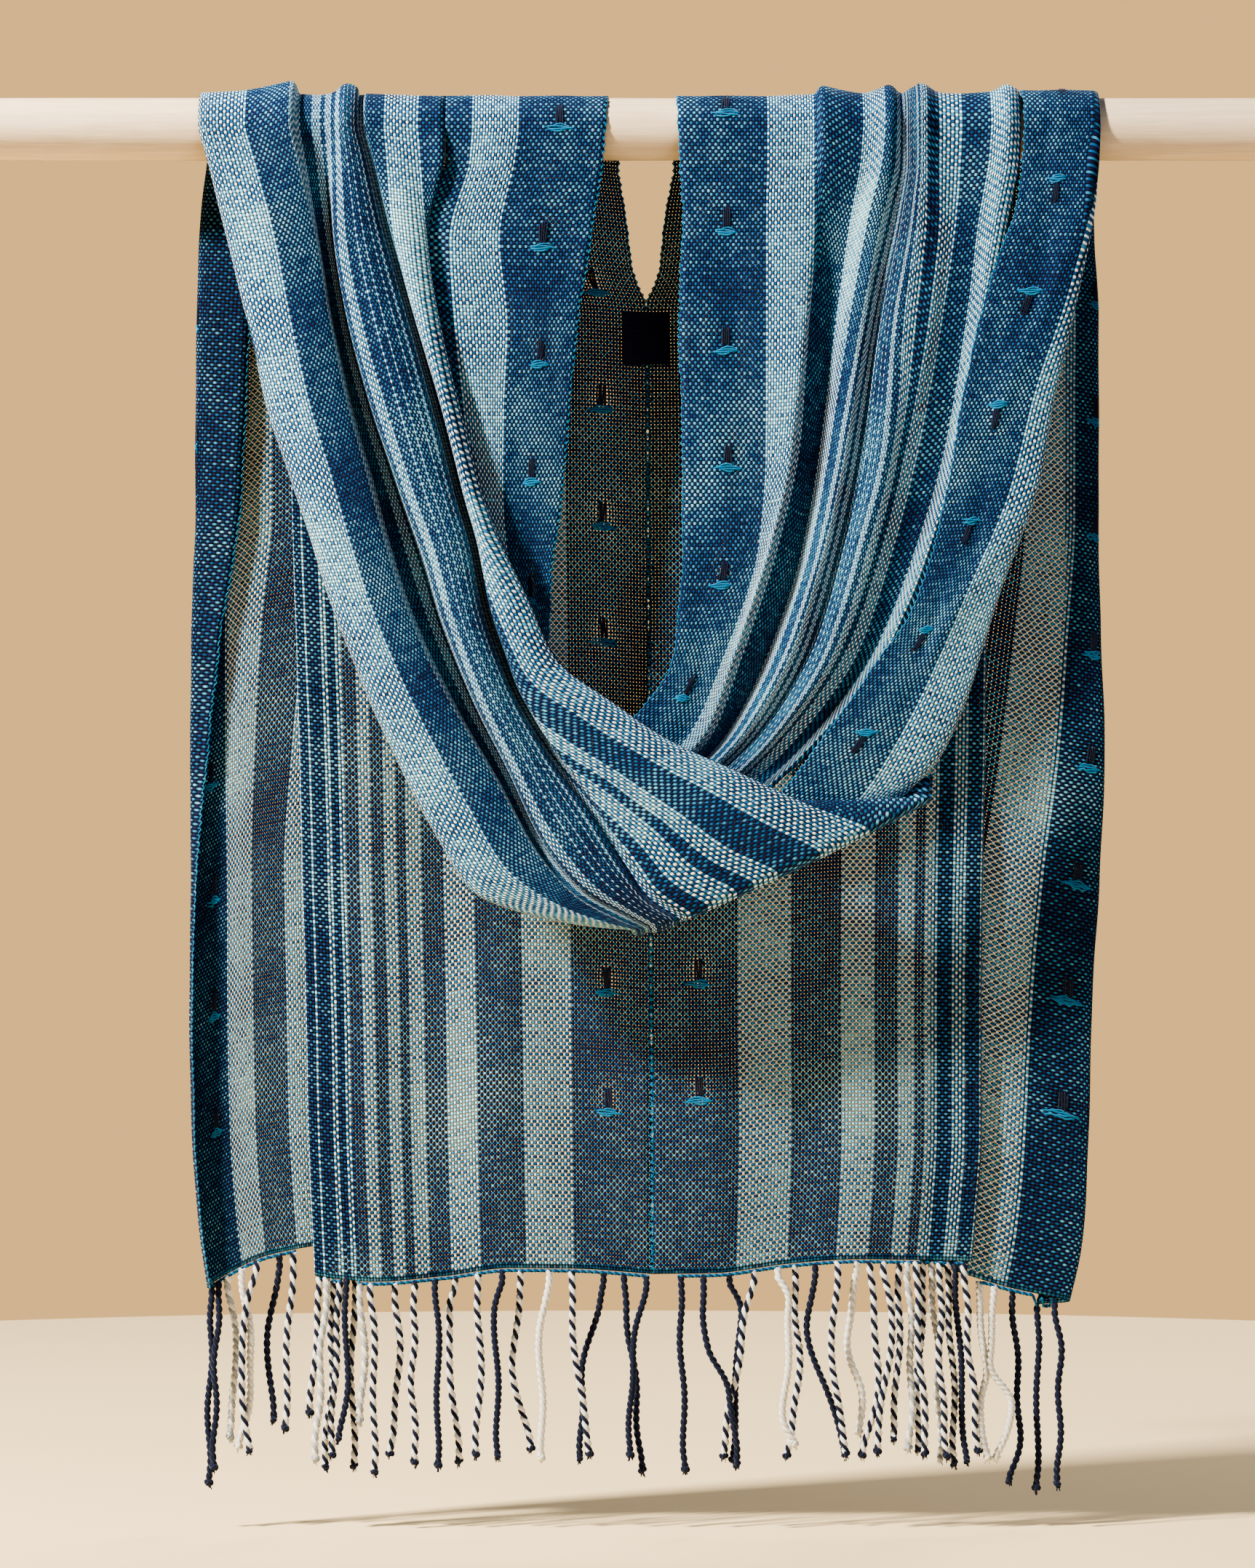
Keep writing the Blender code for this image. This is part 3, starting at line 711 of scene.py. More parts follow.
@dataclass(frozen=True)
class PaleWood:
    """Finish of the sanded pale rod.

    Attributes:
        name: The material's name.
        light: Colour of the early wood.
        dark: Colour of the late wood.
    """

    name: str = "pale_pine"
    light: tuple[float, float, float] = (0.88, 0.70, 0.48)
    dark: tuple[float, float, float] = (0.78, 0.58, 0.37)

    def material(self, groups: Groups) -> bpy.types.Material:
        """Builds the material.

        Args:
            groups: The shared node groups.

        Returns:
            The material.
        """
        made, sketch, shader = new_material(self.name)
        place = sketch.node("ShaderNodeTexCoord").outputs["Object"]
        grain = sketch.use(groups.grain, Place=place).outputs
        color = sketch.blend(sketch.math("MULTIPLY", grain["Grain"], 0.5), self.light, self.dark)
        pore = sketch.math("MULTIPLY_ADD", grain["Pore"], 0.3, 0.83)
        sketch.put(shader.inputs["Base Color"], sketch.shaded(color, pore))
        rough = sketch.math("MULTIPLY_ADD", grain["Pore"], 0.2, 0.5)
        sketch.put(shader.inputs["Roughness"], rough)
        sketch.bump(shader, grain["Pore"], 0.25, FIBRE_HEIGHT)
        shader.inputs["Specular IOR Level"].default_value = 0.35
        return made


@dataclass(frozen=True)
class NavyTape:
    """Finish of the label's ribbed tape.

    Attributes:
        name: The material's name.
        color: The tape's colour.
        rib: Distance between two ribs, in mm.
    """

    name: str = "navy_tape"
    color: tuple[float, float, float] = (0.012, 0.014, 0.050)
    rib: float = 1.3

    def material(self, groups: Groups) -> bpy.types.Material:
        """Builds the material.

        Args:
            groups: The shared node groups.

        Returns:
            The material.
        """
        made, sketch, shader = new_material(self.name)
        place = sketch.node("ShaderNodeTexCoord").outputs["Object"]
        shade = sketch.use(groups.fibre, Place=place, Depth=0.8).outputs["Shade"]
        split = sketch.node("ShaderNodeSeparateXYZ")
        sketch.put(split.inputs[0], place)
        # Painted shade and highlight of the ribs: the tape's colour darkens and brightens in stripes
        # at the rib pitch.
        turns = sketch.math("MULTIPLY", split.outputs[2], 2 * math.pi / (self.rib * MM))
        rib = sketch.math("MULTIPLY_ADD", sketch.math("SINE", turns), 0.35, 0.8)
        both = sketch.math("MULTIPLY", rib, shade)
        sketch.put(shader.inputs["Base Color"], sketch.shaded(self.color, both))
        shader.inputs["Roughness"].default_value = 0.7
        shader.inputs["Specular IOR Level"].default_value = 0.2
        return made


def new_object(name: str, data: bpy.types.ID) -> bpy.types.Object:
    """Adds an object with this data to the scene.

    Args:
        name: The object's name.
        data: Its mesh, curve, light or camera.

    Returns:
        The new object.
    """
    made = bpy.data.objects.new(name, data)
    bpy.context.scene.collection.objects.link(made)
    return made


def new_mesh(name: str, bm: bmesh.types.BMesh) -> bpy.types.Mesh:
    """Turns an edited mesh into a named one.

    Args:
        name: The mesh's name.
        bm: The edited mesh, which is freed.

    Returns:
        The mesh.
    """
    mesh = bpy.data.meshes.new(name)
    bm.to_mesh(mesh)
    bm.free()
    return mesh


def add_wall(sheet: bpy.types.Object, thickness: float) -> None:
    """Gives a sheet a thickness, half to each side.

    Args:
        sheet: The sheet's object.
        thickness: The thickness, in mm.
    """
    wall = sheet.modifiers.new("Wall", "SOLIDIFY")
    wall.thickness = thickness * MM
    wall.offset = 0


def eased(keys: Sequence | np.ndarray, steps: Sequence[int]) -> np.ndarray:
    """A smooth line through the keys that never swings past them.

    Args:
        keys: Points, or sections of points.
        steps: How many steps to take between each two keys.

    Returns:
        The points of the line.
    """
    keys = np.asarray(keys, float)
    rise = np.diff(keys, axis=0)
    slope = np.zeros_like(keys)
    slope[0], slope[-1] = rise[0], rise[-1]
    before, after = rise[:-1], rise[1:]
    total = before + after
    same_way = before * after > 0
    slope[1:-1] = np.where(same_way, 2 * before * after / np.where(same_way, total, 1), 0)
    points = [keys[0]]
    for i, count in enumerate(steps):
        for step in range(1, count + 1):
            t = step / count
            points.append(
                (2 * t**3 - 3 * t**2 + 1) * keys[i]
                + (t**3 - 2 * t**2 + t) * slope[i]
                + (3 * t**2 - 2 * t**3) * keys[i + 1]
                + (t**3 - t**2) * slope[i + 1]
            )
    return np.array(points)


def between(a: Point, b: Point, t: float) -> Point:
    """The point this share of the way from a to b."""
    return a[0] + (b[0] - a[0]) * t, a[1] + (b[1] - a[1]) * t


def toward(a: Point, b: Point, distance: float) -> Point:
    """The point this far from a in the direction of b."""
    return between(a, b, distance / math.dist(a, b))


RIDGE_KEPT = 0.35


def report(made: bpy.types.Object) -> None:
    """Logs a piece and how many faces it has."""
    LOG.info("%s: %d faces", made.name, len(made.data.polygons))


def rod_rows(columns: Sequence[Point], flats: Sequence[float]) -> list[list[Point]]:
    """Sections over the rod, from its back to its front.

    Args:
        columns: Pairs of x and lift above the wrap.
        flats: The place of each column in the flat cloth.

    Returns:
        The sections' points: x, y, z and the place in the flat cloth.
    """
    rows = []
    for step in range(ROD_STEPS + 1):
        angle = math.pi * step / ROD_STEPS
        keep = RIDGE_KEPT + (1 - RIDGE_KEPT) * math.sin(min(angle, math.pi / 2))
        row = []
        for (x, lift), flat in zip(columns, flats):
            ridge = max(lift - PLEAT_LIFT, 0) * keep
            radius = WRAP_RADIUS + min(lift, PLEAT_LIFT) + ridge
            row.append((x, radius * math.cos(angle), radius * math.sin(angle), flat))
        rows.append(row)
    return rows


@dataclass(frozen=True)
class Crease:
    """A soft trough or ridge across a stretch of cloth, in its flat places.

    Attributes:
        x: Where it begins across the cloth, in mm.
        y: Where it begins along it.
        end_x: Where it ends across.
        end_y: Where it ends along.
        width: How far it spreads to each side.
        depth: How far it stands out of the front, or in if negative.
    """

    x: float
    y: float
    end_x: float
    end_y: float
    width: float
    depth: float

    def rise(self, across: np.ndarray, along: np.ndarray) -> np.ndarray:
        """How far the crease lifts each point.

        Args:
            across: Places across the cloth, in mm.
            along: Places along it.

        Returns:
            The lift of each point, in mm.
        """
        line = np.array((self.end_x - self.x, self.end_y - self.y), float)
        length = float(np.hypot(*line))
        unit = line / length
        x, y = across - self.x, along - self.y
        run = x * unit[0] + y * unit[1]
        off = y * unit[0] - x * unit[1]
        t = np.clip(run / length, 0, 1)
        beyond = run - t * length
        fade = np.exp(-((off**2 + beyond**2) / self.width**2))
        return self.depth * fade * (0.35 + 0.65 * np.sin(np.pi * (0.1 + 0.8 * t)))


@dataclass(frozen=True)
class Marks:
    """A row of brocade marks along the warp.

    Attributes:
        across: Flat place of the row, in mm.
        first: Flat place of the first mark.
        count: How many marks there are.
        way: 1 if the teal bunch lies farther along than the dark bar, else -1.
    """

    across: float
    first: float
    count: int
    way: float = 1.0


@dataclass
class DrapedCloth:
    """A stretch of the shawl as a fine sheet.

    Attributes:
        name: The piece's name.
        node: The frame's node that it stands for.
        finish: The weave's finish.
        flat: Width and length that it was cut to, in metres; not used.
        row_fineness: Steps of the sheet for each step of the section table.
        column_fineness: The same across the sections.
        creases: The troughs and ridges, each a row of a Crease's values.
        open_edges: Which of its long sides are selvedges, first and last.
        marks: The rows of brocade marks on it.
        points: The finished grid, in mm, once the sheet is built.
        across: The grid's places across the flat cloth.
        along: The grid's places along it.
    """

    name: str
    node: str
    finish: Weave
    flat: tuple[float, float]
    row_fineness: int = 4
    column_fineness: int = 3
    creases: tuple[Point, ...] = ()
    open_edges: tuple[bool, bool] = (False, False)
    marks: tuple[Marks, ...] = ()
    points: np.ndarray | None = None
    across: np.ndarray | None = None
    along: np.ndarray | None = None

    COCKLES = ((0.22, 9.0, 1.3, 41.0), (0.18, 13.0, 1.7, 23.0))
    SELVEDGE_WAVES = ((0.5, 3.1), (0.4, 11.0))

    def sections(self) -> tuple[list[list[Point]], list[int], list[int]]:
        """The sections of the drape.

        Returns:
            The sections' points, the steps between sections and the steps across one.
        """
        raise NotImplementedError

    def from_hem(self) -> bool:
        """Whether V counts up from the last section and not from the rod's top."""
        return self.finish.hem

    def lay(self) -> tuple[np.ndarray, np.ndarray, np.ndarray]:
        """Works out the fine grid.

        Returns:
            The points in mm, and each point's place across and along the flat cloth.
        """
        rows, row_steps, column_steps = self.sections()
        column_steps = [n * self.column_fineness for n in column_steps]
        row_steps = [n * self.row_fineness for n in row_steps]
        across_rows = np.array([eased(row, column_steps) for row in rows])
        grid = eased(across_rows, row_steps)
        points, across = grid[..., :3], grid[..., 3]
        runs = np.linalg.norm(np.diff(points, axis=0), axis=2)
        along = np.vstack([np.zeros(points.shape[1]), np.cumsum(runs, axis=0)])
        if self.from_hem():
            along = along[-1] - along
        else:
            top = sum(row_steps[: ROD_STEPS // 2])
            along = along - along[top]
        return points, across, along

    def normals(self, points: np.ndarray) -> np.ndarray:
        """The grid's unit normals.

        Args:
            points: The grid, in mm.

        Returns:
            The normals, towards the outside of the wrap.
        """
        down = np.gradient(points, axis=0)
        side = np.gradient(points, axis=1)
        normal = np.cross(side, down)
        length = np.linalg.norm(normal, axis=2, keepdims=True)
        return normal / np.maximum(length, 1e-9)

    def crumple(self, points: np.ndarray, across: np.ndarray, along: np.ndarray) -> np.ndarray:
        """Moves the points by the creases, a slight cockle of the cloth and the selvedges' own waves.

        Args:
            points: The grid, in mm.
            across: Places across the flat cloth.
            along: Places along it.

        Returns:
            The moved grid.
        """
        lift = np.zeros_like(across)
        for crease in self.creases:
            lift += Crease(*crease).rise(across, along)
        ways = ((across, along), (along, across))
        for (height, length, swing, wander), (a, b) in zip(self.COCKLES, ways):
            lift += height * np.sin(a / length + swing * np.sin(b / wander))
        moved = points + self.normals(points) * lift[..., None]
        for is_open, column, inner in ((self.open_edges[0], 0, 1), (self.open_edges[1], -1, -2)):
            if is_open:
                out = moved[:, column] - moved[:, inner]
                out /= np.maximum(np.linalg.norm(out, axis=1, keepdims=True), 1e-9)
                run = along[:, column]
                wave = sum(size * np.sin(run / length) for size, length in self.SELVEDGE_WAVES)
                moved[:, column] += out * wave[:, None]
        return moved

    def build(self, groups: Groups) -> list[bpy.types.Object]:
        """Makes the sheet and its selvedges.

        Args:
            groups: The shared node groups.

        Returns:
            The sheet first, then the pieces on it.
        """
        points, across, along = self.lay()
        points = self.crumple(points, across, along)
        self.points, self.across, self.along = points, across, along
        sheet = grid_object(self.name, points, across, along)
        sheet.data.materials.append(self.finish.material(groups))
        add_wall(sheet, SHELL)
        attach(sheet, BODY)
        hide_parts(self.node)
        report(sheet)
        made = [sheet]
        edges = SelvedgeLoops(f"{self.name}_selvedge", WEFT_PITCH * 2)
        for is_open, column, inner in ((self.open_edges[0], 0, 2), (self.open_edges[1], -1, -3)):
            if is_open:
                edges.follow(points[:, column], points[:, inner])
        if edges.tubes.lines:
            made.append(edges.build(groups))
        if self.marks:
            made.append(Brocade(f"{self.name}_brocade", self).build(groups))
        return made

    def spot(self, across: float, along: float) -> tuple[np.ndarray, np.ndarray]:
        """The point of the draped sheet at a flat place, and the cloth's normal there.

        Args:
            across: The flat place across, in mm.
            along: The flat place along.

        Returns:
            The point and the unit normal.
        """
        rows, columns = self.across.shape
        row, column = rows / 2, columns / 2
        for _ in range(6):
            whole = int(np.clip(round(row), 0, rows - 1))
            line = self.across[whole]
            order = np.argsort(line)
            column = float(np.interp(across, line[order], np.arange(columns)[order]))
            line = self.along[:, int(np.clip(round(column), 0, columns - 1))]
            order = np.argsort(line)
            row = float(np.interp(along, line[order], np.arange(rows)[order]))
        i, j = int(min(row, rows - 2)), int(min(column, columns - 2))
        t, u = row - i, column - j
        corners = self.points[i : i + 2, j : j + 2]
        near = corners[0, 0] * (1 - u) + corners[0, 1] * u
        far = corners[1, 0] * (1 - u) + corners[1, 1] * u
        normal = np.cross(corners[0, 1] - corners[0, 0], corners[1, 0] - corners[0, 0])
        return near * (1 - t) + far * t, normal / max(np.linalg.norm(normal), 1e-9)


def grid_object(
    name: str, points: np.ndarray, across: np.ndarray, along: np.ndarray
) -> bpy.types.Object:
    """Makes a grid mesh through the points, with its flat places as the UV map.

    Args:
        name: The piece's name.
        points: The grid of points, in mm.
        across: Places across the flat cloth, in mm.
        along: Places along it.

    Returns:
        The new object.
    """
    rows, columns = across.shape
    bm = bmesh.new()
    bmesh.ops.create_grid(bm, x_segments=columns - 1, y_segments=rows - 1, size=1)
    bm.verts.ensure_lookup_table()
    flat_points = points.reshape(-1, 3) * MM
    for vert, place in zip(bm.verts, flat_points):
        vert.co = place
    layer = bm.loops.layers.uv.new("Cloth")
    u, v = across.ravel() * MM, along.ravel() * MM
    for face in bm.faces:
        face.smooth = True
        for loop in face.loops:
            i = loop.vert.index
            loop[layer].uv = (u[i], v[i])
    return new_object(name, new_mesh(name, bm))


class Tubes:
    """Many thin round yarns, gathered as lines and made one mesh."""

    def __init__(self, name: str, sides: int = 6) -> None:
        """Starts with no lines.

        Args:
            name: The piece's name.
            sides: How many sides a yarn has: 4, 6 or 8.
        """
        self.name = name
        self.sides = sides
        self.lines: list[tuple[np.ndarray, float, int, bool]] = []

    def add(self, points: Sequence, radius: float, yarn: Yarn, taper: bool = False) -> None:
        """Adds a line.

        Args:
            points: The line's points, in mm.
            radius: The yarn's radius.
            yarn: Which yarn it is.
            taper: Whether it thins towards its end.
        """
        self.lines.append((np.asarray(points, float), radius, yarn.value, taper))

    def build(self, materials: list[bpy.types.Material]) -> bpy.types.Object:
        """Makes the mesh.

        Args:
            materials: One for each yarn, in the order of Yarn.

        Returns:
            The new object.
        """
        curve = bpy.data.curves.new(self.name, "CURVE")
        curve.dimensions = "3D"
        curve.bevel_depth = MM
        curve.bevel_resolution = (self.sides - 4) // 2
        curve.use_fill_caps = True
        for material in materials:
            curve.materials.append(material)
        for points, radius, index, taper in self.lines:
            spline = curve.splines.new("POLY")
            spline.points.add(len(points) - 1)
            for i, (spot, place) in enumerate(zip(spline.points, points * MM)):
                spot.co = (*place, 1.0)
                spot.radius = radius * (1 - 0.6 * i / len(points)) if taper else radius
            spline.material_index = index
            spline.use_smooth = True
        holder = new_object(f"{self.name}_lines", curve)
        graph = bpy.context.evaluated_depsgraph_get()
        mesh = bpy.data.meshes.new_from_object(holder.evaluated_get(graph))
        mesh.name = self.name
        made = new_object(self.name, mesh)
        bpy.data.objects.remove(holder)
        return made

    def sew_on(self, groups: Groups, slot: Slot) -> bpy.types.Object:
        """Makes the mesh in the yarns' materials, as a part of the shawl.

        Args:
            groups: The shared node groups.
            slot: The record's slot that it belongs to; not used.

        Returns:
            The new object.
        """
        made = self.build(YarnShelf.materials(groups))
        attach(made, BODY)
        report(made)
        return made


class YarnShelf:
    """The yarns' materials, made once and shared."""

    made: list[bpy.types.Material] = []

    FINISHES = (
        SpunYarn("navy_yarn", (0.012, 0.018, 0.045)),
        SpunYarn("cream_yarn", (0.72, 0.70, 0.62), 0.6),
        SpunYarn("teal_yarn", (0.015, 0.20, 0.36)),
        SpunYarn("deep_yarn", (0.008, 0.055, 0.14)),
        SpunYarn("pale_yarn", (0.40, 0.42, 0.42), 0.8),
    )

    @classmethod
    def materials(cls, groups: Groups) -> list[bpy.types.Material]:
        """The yarns' materials, in the order of Yarn."""
        if not cls.made:
            cls.made.extend(finish.material(groups) for finish in cls.FINISHES)
        return cls.made


@dataclass
class Brocade:
    """Small brocade marks: a dark bar of warp floats with a bunch of teal wefts at one end.

    Attributes:
        name: The piece's name.
        cloth: The stretch that the marks are woven on.
    """

    name: str
    cloth: DrapedCloth

    BAR_HALF = 9.0
    BAR_STRANDS = (-2.4, -0.8, 0.8, 2.4)
    BUNCH_STRANDS = ((8.2, 7.5, 2.6), (10.2, 10.5, 1.4), (12.2, 11.0, -0.4), (14.2, 7.5, -2.4))
    RADIUS = 0.8
    BAR_RISE = 1.0
    BUNCH_RISE = 0.9
    SUNK = 0.3
    JITTER = 1.5

    def build(self, groups: Groups) -> bpy.types.Object:
        """Makes every mark of the stretch.

        Args:
            groups: The shared node groups.

        Returns:
            The new object.
        """
        chance = random.Random(len(self.name) * 7 + 1)
        tubes = Tubes(self.name, 4)
        for row in self.cloth.marks:
            for i in range(row.count):
                along = row.first + MARK_PITCH * i + chance.uniform(-self.JITTER, self.JITTER)
                self.mark(tubes, row.across, along, row.way, chance)
        return tubes.sew_on(groups, Slot.CLOTH)

    def mark(
        self, tubes: Tubes, across: float, along: float, way: float, chance: random.Random
    ) -> None:
        """Adds one mark.

        Args:
            tubes: The yarns so far.
            across: Flat place of its bar, in mm.
            along: The same along the warp.
            way: Which end of the bar the bunch lies at.
            chance: The row's own chances.
        """
        for x in self.BAR_STRANDS:
            half = self.BAR_HALF * chance.uniform(0.75, 1.15)
            lean = chance.uniform(-0.8, 0.8)
            line = [(x + lean * t, half * t) for t in np.linspace(-1, 1, 7)]
            self.float_over(tubes, across, along, way, line, self.BAR_RISE, Yarn.NAVY)
        for y, half, sag in self.BUNCH_STRANDS:
            half *= chance.uniform(0.8, 1.15)
            tilt = chance.uniform(-1.3, 1.3)
            shift = chance.uniform(-self.JITTER, self.JITTER)
            line = [(shift + half * t, y + sag * t * t + tilt * t) for t in np.linspace(-1, 1, 9)]
            self.float_over(tubes, across, along, way, line, self.BUNCH_RISE, Yarn.TEAL)

    def float_over(
        self, tubes: Tubes, across: float, along: float, way: float, line: Sequence[Point],
        rise: float, yarn: Yarn,
    ) -> None:
        """Adds a yarn that floats over the cloth and dives into it at both ends.

        Args:
            tubes: The yarns so far.
            across: Flat place of the mark, in mm.
            along: The same along the warp.
            way: Which end of the bar the bunch lies at.
            line: The yarn's flat places from the mark's middle.
            rise: How far its middle stands off the cloth.
            yarn: Which yarn it is.
        """
        points = []
        for i, (x, y) in enumerate(line):
            point, normal = self.cloth.spot(across + x, along + way * y)
            if normal[1] > 0:
                normal = -normal
            share = math.sin(math.pi * i / (len(line) - 1))
            points.append(point + normal * (rise * min(1.0, 1.8 * share) - self.SUNK))
        tubes.add(points, self.RADIUS, yarn)


@dataclass
class SelvedgeLoops:
    """Weft loops that turn round the outermost warp of an edge.

    Attributes:
        name: The piece's name.
        pitch: Distance between two loops, in mm.
        reach: How far a loop stands out of the edge.
        radius: The yarn's radius.
    """

    name: str
    pitch: float
    reach: float = 0.9
    radius: float = 0.62

    def __post_init__(self) -> None:
        """Starts the yarn's lines."""
        self.tubes = Tubes(self.name, 4)

    def follow(self, edge: np.ndarray, inner: np.ndarray) -> None:
        """Adds loops along an edge.

        Args:
            edge: The edge's points, in mm.
            inner: Points a little way in from it, one for each.
        """
        out = edge - inner
        out /= np.maximum(np.linalg.norm(out, axis=1, keepdims=True), 1e-9)
        run = np.concatenate([[0], np.cumsum(np.linalg.norm(np.diff(edge, axis=0), axis=1))])
        stops = np.arange(0, run[-1], self.pitch / 4)
        places = np.stack([np.interp(stops, run, edge[:, i]) for i in range(3)], axis=1)
        ways = np.stack([np.interp(stops, run, out[:, i]) for i in range(3)], axis=1)
        turns = 2 * np.pi * stops / self.pitch
        wobble = 1 + 0.35 * np.sin(stops / 17.0)
        reach = self.reach * np.maximum(np.sin(turns), -0.5) * wobble
        line = places + ways * (reach - 0.3)[:, None]
        line[:, 1] += 0.45 * np.cos(turns)
        self.tubes.add(line, self.radius, Yarn.TEAL)

    def build(self, groups: Groups) -> bpy.types.Object:
        """Makes the edge's yarn.

        Args:
            groups: The shared node groups.

        Returns:
            The new object.
        """
        return self.tubes.sew_on(groups, Slot.CLOTH)


Swag = namedtuple("Swag", "outer u_fold pin_left pin_right roll crest gap_1 gap_2")
SWAG = (
    Swag((-319, -90), (-248, -90), (-232, -90), (-195, -90), (-160, -90), -35, 12, 6),
    Swag((-303, -160), (-236, -160), (-220, -160), (-175, -160), (-149, -160), -38, 18, 8),
    Swag((-287, -224), (-222, -224), (-202, -224), (-157, -224), (-134, -224), -41, 20, 10),
    Swag((-269, -279), (-205, -285), (-180, -289), (-139, -293), (-116, -293), -44, 21, 11),
    Swag((-239, -372), (-187, -353), (-160, -343), (-128, -331), (-106, -322), -47, 21, 12),
    Swag((-218, -427), (-166, -408), (-143, -399), (-116, -389), (-80, -376), -50, 20, 12),
    Swag((-187, -498), (-135, -469), (-119, -460), (-95, -447), (-57, -426), -53, 18, 12),
    Swag((-156, -560), (-103, -523), (-92, -515), (-67, -498), (-13, -460), -55, 14, 10),
    Swag((-117, -614), (-72, -579), (-64, -573), (-32, -546), (36, -492), -57, 7, 7),
    Swag((-59, -632), (-38, -616), (-31, -610), (-4, -590), (91, -517), -58, 3, 4),
    Swag((-20, -638), (-8, -632), (-1, -627), (15, -616), (138, -539), -57, 1.5, 2),
    Swag((3, -640), (10, -640), (18, -638), (38, -632), (190, -560), -54, 1, 1),
)
SWAG_ON_ROD = (
    (-312, 0), (-341, 2.4), (-304, PLEAT_LIFT), (-268, 12), (-262, 1), (-243, 1),
    (-234, 3), (-225, 10), (-216, 6), (-214.5, 0.6), (-210, 0.6), (-208, 2),
    (-188, 1), (-167, 0), (-145.2, 0),
)
SWAG_STEPS = (2, 2, 2, 1, 2, 1, 2, 2, 1, 1, 1, 2, 2, 1)
SWAG_ROW_STEPS = (1, 1, 1, 1, 1, 1, 2, 1, 1, 2, 2, 2, 2, 1, 1)
SWAG_START = 0.32
ROLL_FLAT = 148.0
BAND_FLAT = 87.0
SWAG_CREASES = (
    (470, 60, 415, 250, 7, -1.6), (500, 150, 452, 330, 9, 1.4), (435, 240, 470, 420, 8, -1.5),
    (495, 330, 440, 520, 10, 1.3), (455, 470, 420, 640, 7, -1.4), (490, 560, 470, 700, 9, 1.0),
    (296, 120, 300, 330, 6, 1.2), (270, 330, 262, 520, 5, -1.2), (310, 450, 290, 640, 6, 1.0),
    (205, 150, 180, 330, 7, -1.6), (165, 260, 190, 420, 6, 1.4), (215, 430, 175, 560, 8, -1.7),
    (160, 540, 205, 650, 7, 1.3), (190, 640, 170, 760, 9, -1.2),
)


class LeftSwag(DrapedCloth):
    """The left front: three folds that fall from the rod and sweep to the right as the swag."""

    @staticmethod
    def flats(band: float) -> tuple[float, ...]:
        """Flat places of the fifteen columns.

        Args:
            band: How much of the band below the roll shows, in mm.

        Returns:
            The places across the cloth.
        """
        after = ROLL_FLAT + min(BAND_FLAT, band)
        left = (522, 481, 442, 400, 380, 342, 322, 290, 248)
        gap = (248 - (248 - after) * 0.2, 248 - (248 - after) * 0.8)
        return (*left, *gap, after, ROLL_FLAT + (after - ROLL_FLAT) * 0.45, ROLL_FLAT, 128)

    def section(self, row: Swag) -> list[Point]:
        """One section: the U fold, the pinstripe fold and the band below the rolled edge.

        Args:
            row: The section's row of the table.

        Returns:
            Its points: x, y, z and the place in the flat cloth.
        """
        y = row.crest
        band = math.dist(row.roll, row.pin_right)
        width = min(9.0, band / 2)
        full = min(1.0, row.gap_1 / 18)
        places = (
            (between(row.outer, row.u_fold, 0.5), y + 9 + full * 4),
            (row.outer, y + 5 + full * 6),
            (between(row.outer, row.u_fold, 0.55), y - full * 2),
            (row.u_fold, y + 1.5 + full),
            (between(row.u_fold, row.pin_left, 0.08), y + 1.5 + row.gap_1 * 1.6),
            (between(row.u_fold, row.pin_left, 0.80), y + 1.5 + row.gap_1 * 1.6),
            (row.pin_left, y + 2 + full * 2),
            (between(row.pin_left, row.pin_right, 0.5), y - 1 - full * 2),
            (row.pin_right, y + 2 + full * 2),
            (toward(row.pin_right, row.roll, 0.2 * width), y + 2 + row.gap_2 * 1.5),
            (toward(row.pin_right, row.roll, 0.8 * width), y + 2 + row.gap_2 * 1.5),
            (toward(row.pin_right, row.roll, width), y + 2),
            (between(row.pin_right, row.roll, 0.6), y - 1 - full * 2),
            (row.roll, y + 2 + full),
            (toward(row.roll, row.pin_right, -1.0), y + 6 + full),
        )
        return [(x, at, z, s) for ((x, z), at), s in zip(places, self.flats(band - width))]

    def sections(self) -> tuple[list[list[Point]], list[int], list[int]]:
        """The sections with the steps between them and across them."""
        rows = rod_rows(SWAG_ON_ROD, self.flats(41.0))
        below = [self.section(row) for row in SWAG]
        crest = SWAG[-1].crest
        last, before = below[-1], below[-2]
        last[-1] = (240.0, last[-1][1] - 3, -534.0, last[-1][3])
        x, z = toward(SWAG[-2].roll, SWAG[-2].pin_right, -3.0)
        before[-1] = (x, SWAG[-2].crest + 6, z, before[-1][3])
        start = [
            tuple(a + (b - a) * SWAG_START for a, b in zip(up, down))
            for up, down in zip(rows[-1], below[0])
        ]
        start[-1] = (rows[-1][-1][0] - 0.6, -31.5, *start[-1][2:])
        edge = [(x + 1, crest + 11, z - 5 + 0.5 * (y - crest), s) for x, y, z, s in last]
        end = [(x + 3, crest + 23 - (y - crest), z + 18, s) for x, y, z, s in last]
        steps = [1] * ROD_STEPS + list(SWAG_ROW_STEPS)
        return rows + [start] + below + [edge, end], steps, list(SWAG_STEPS)


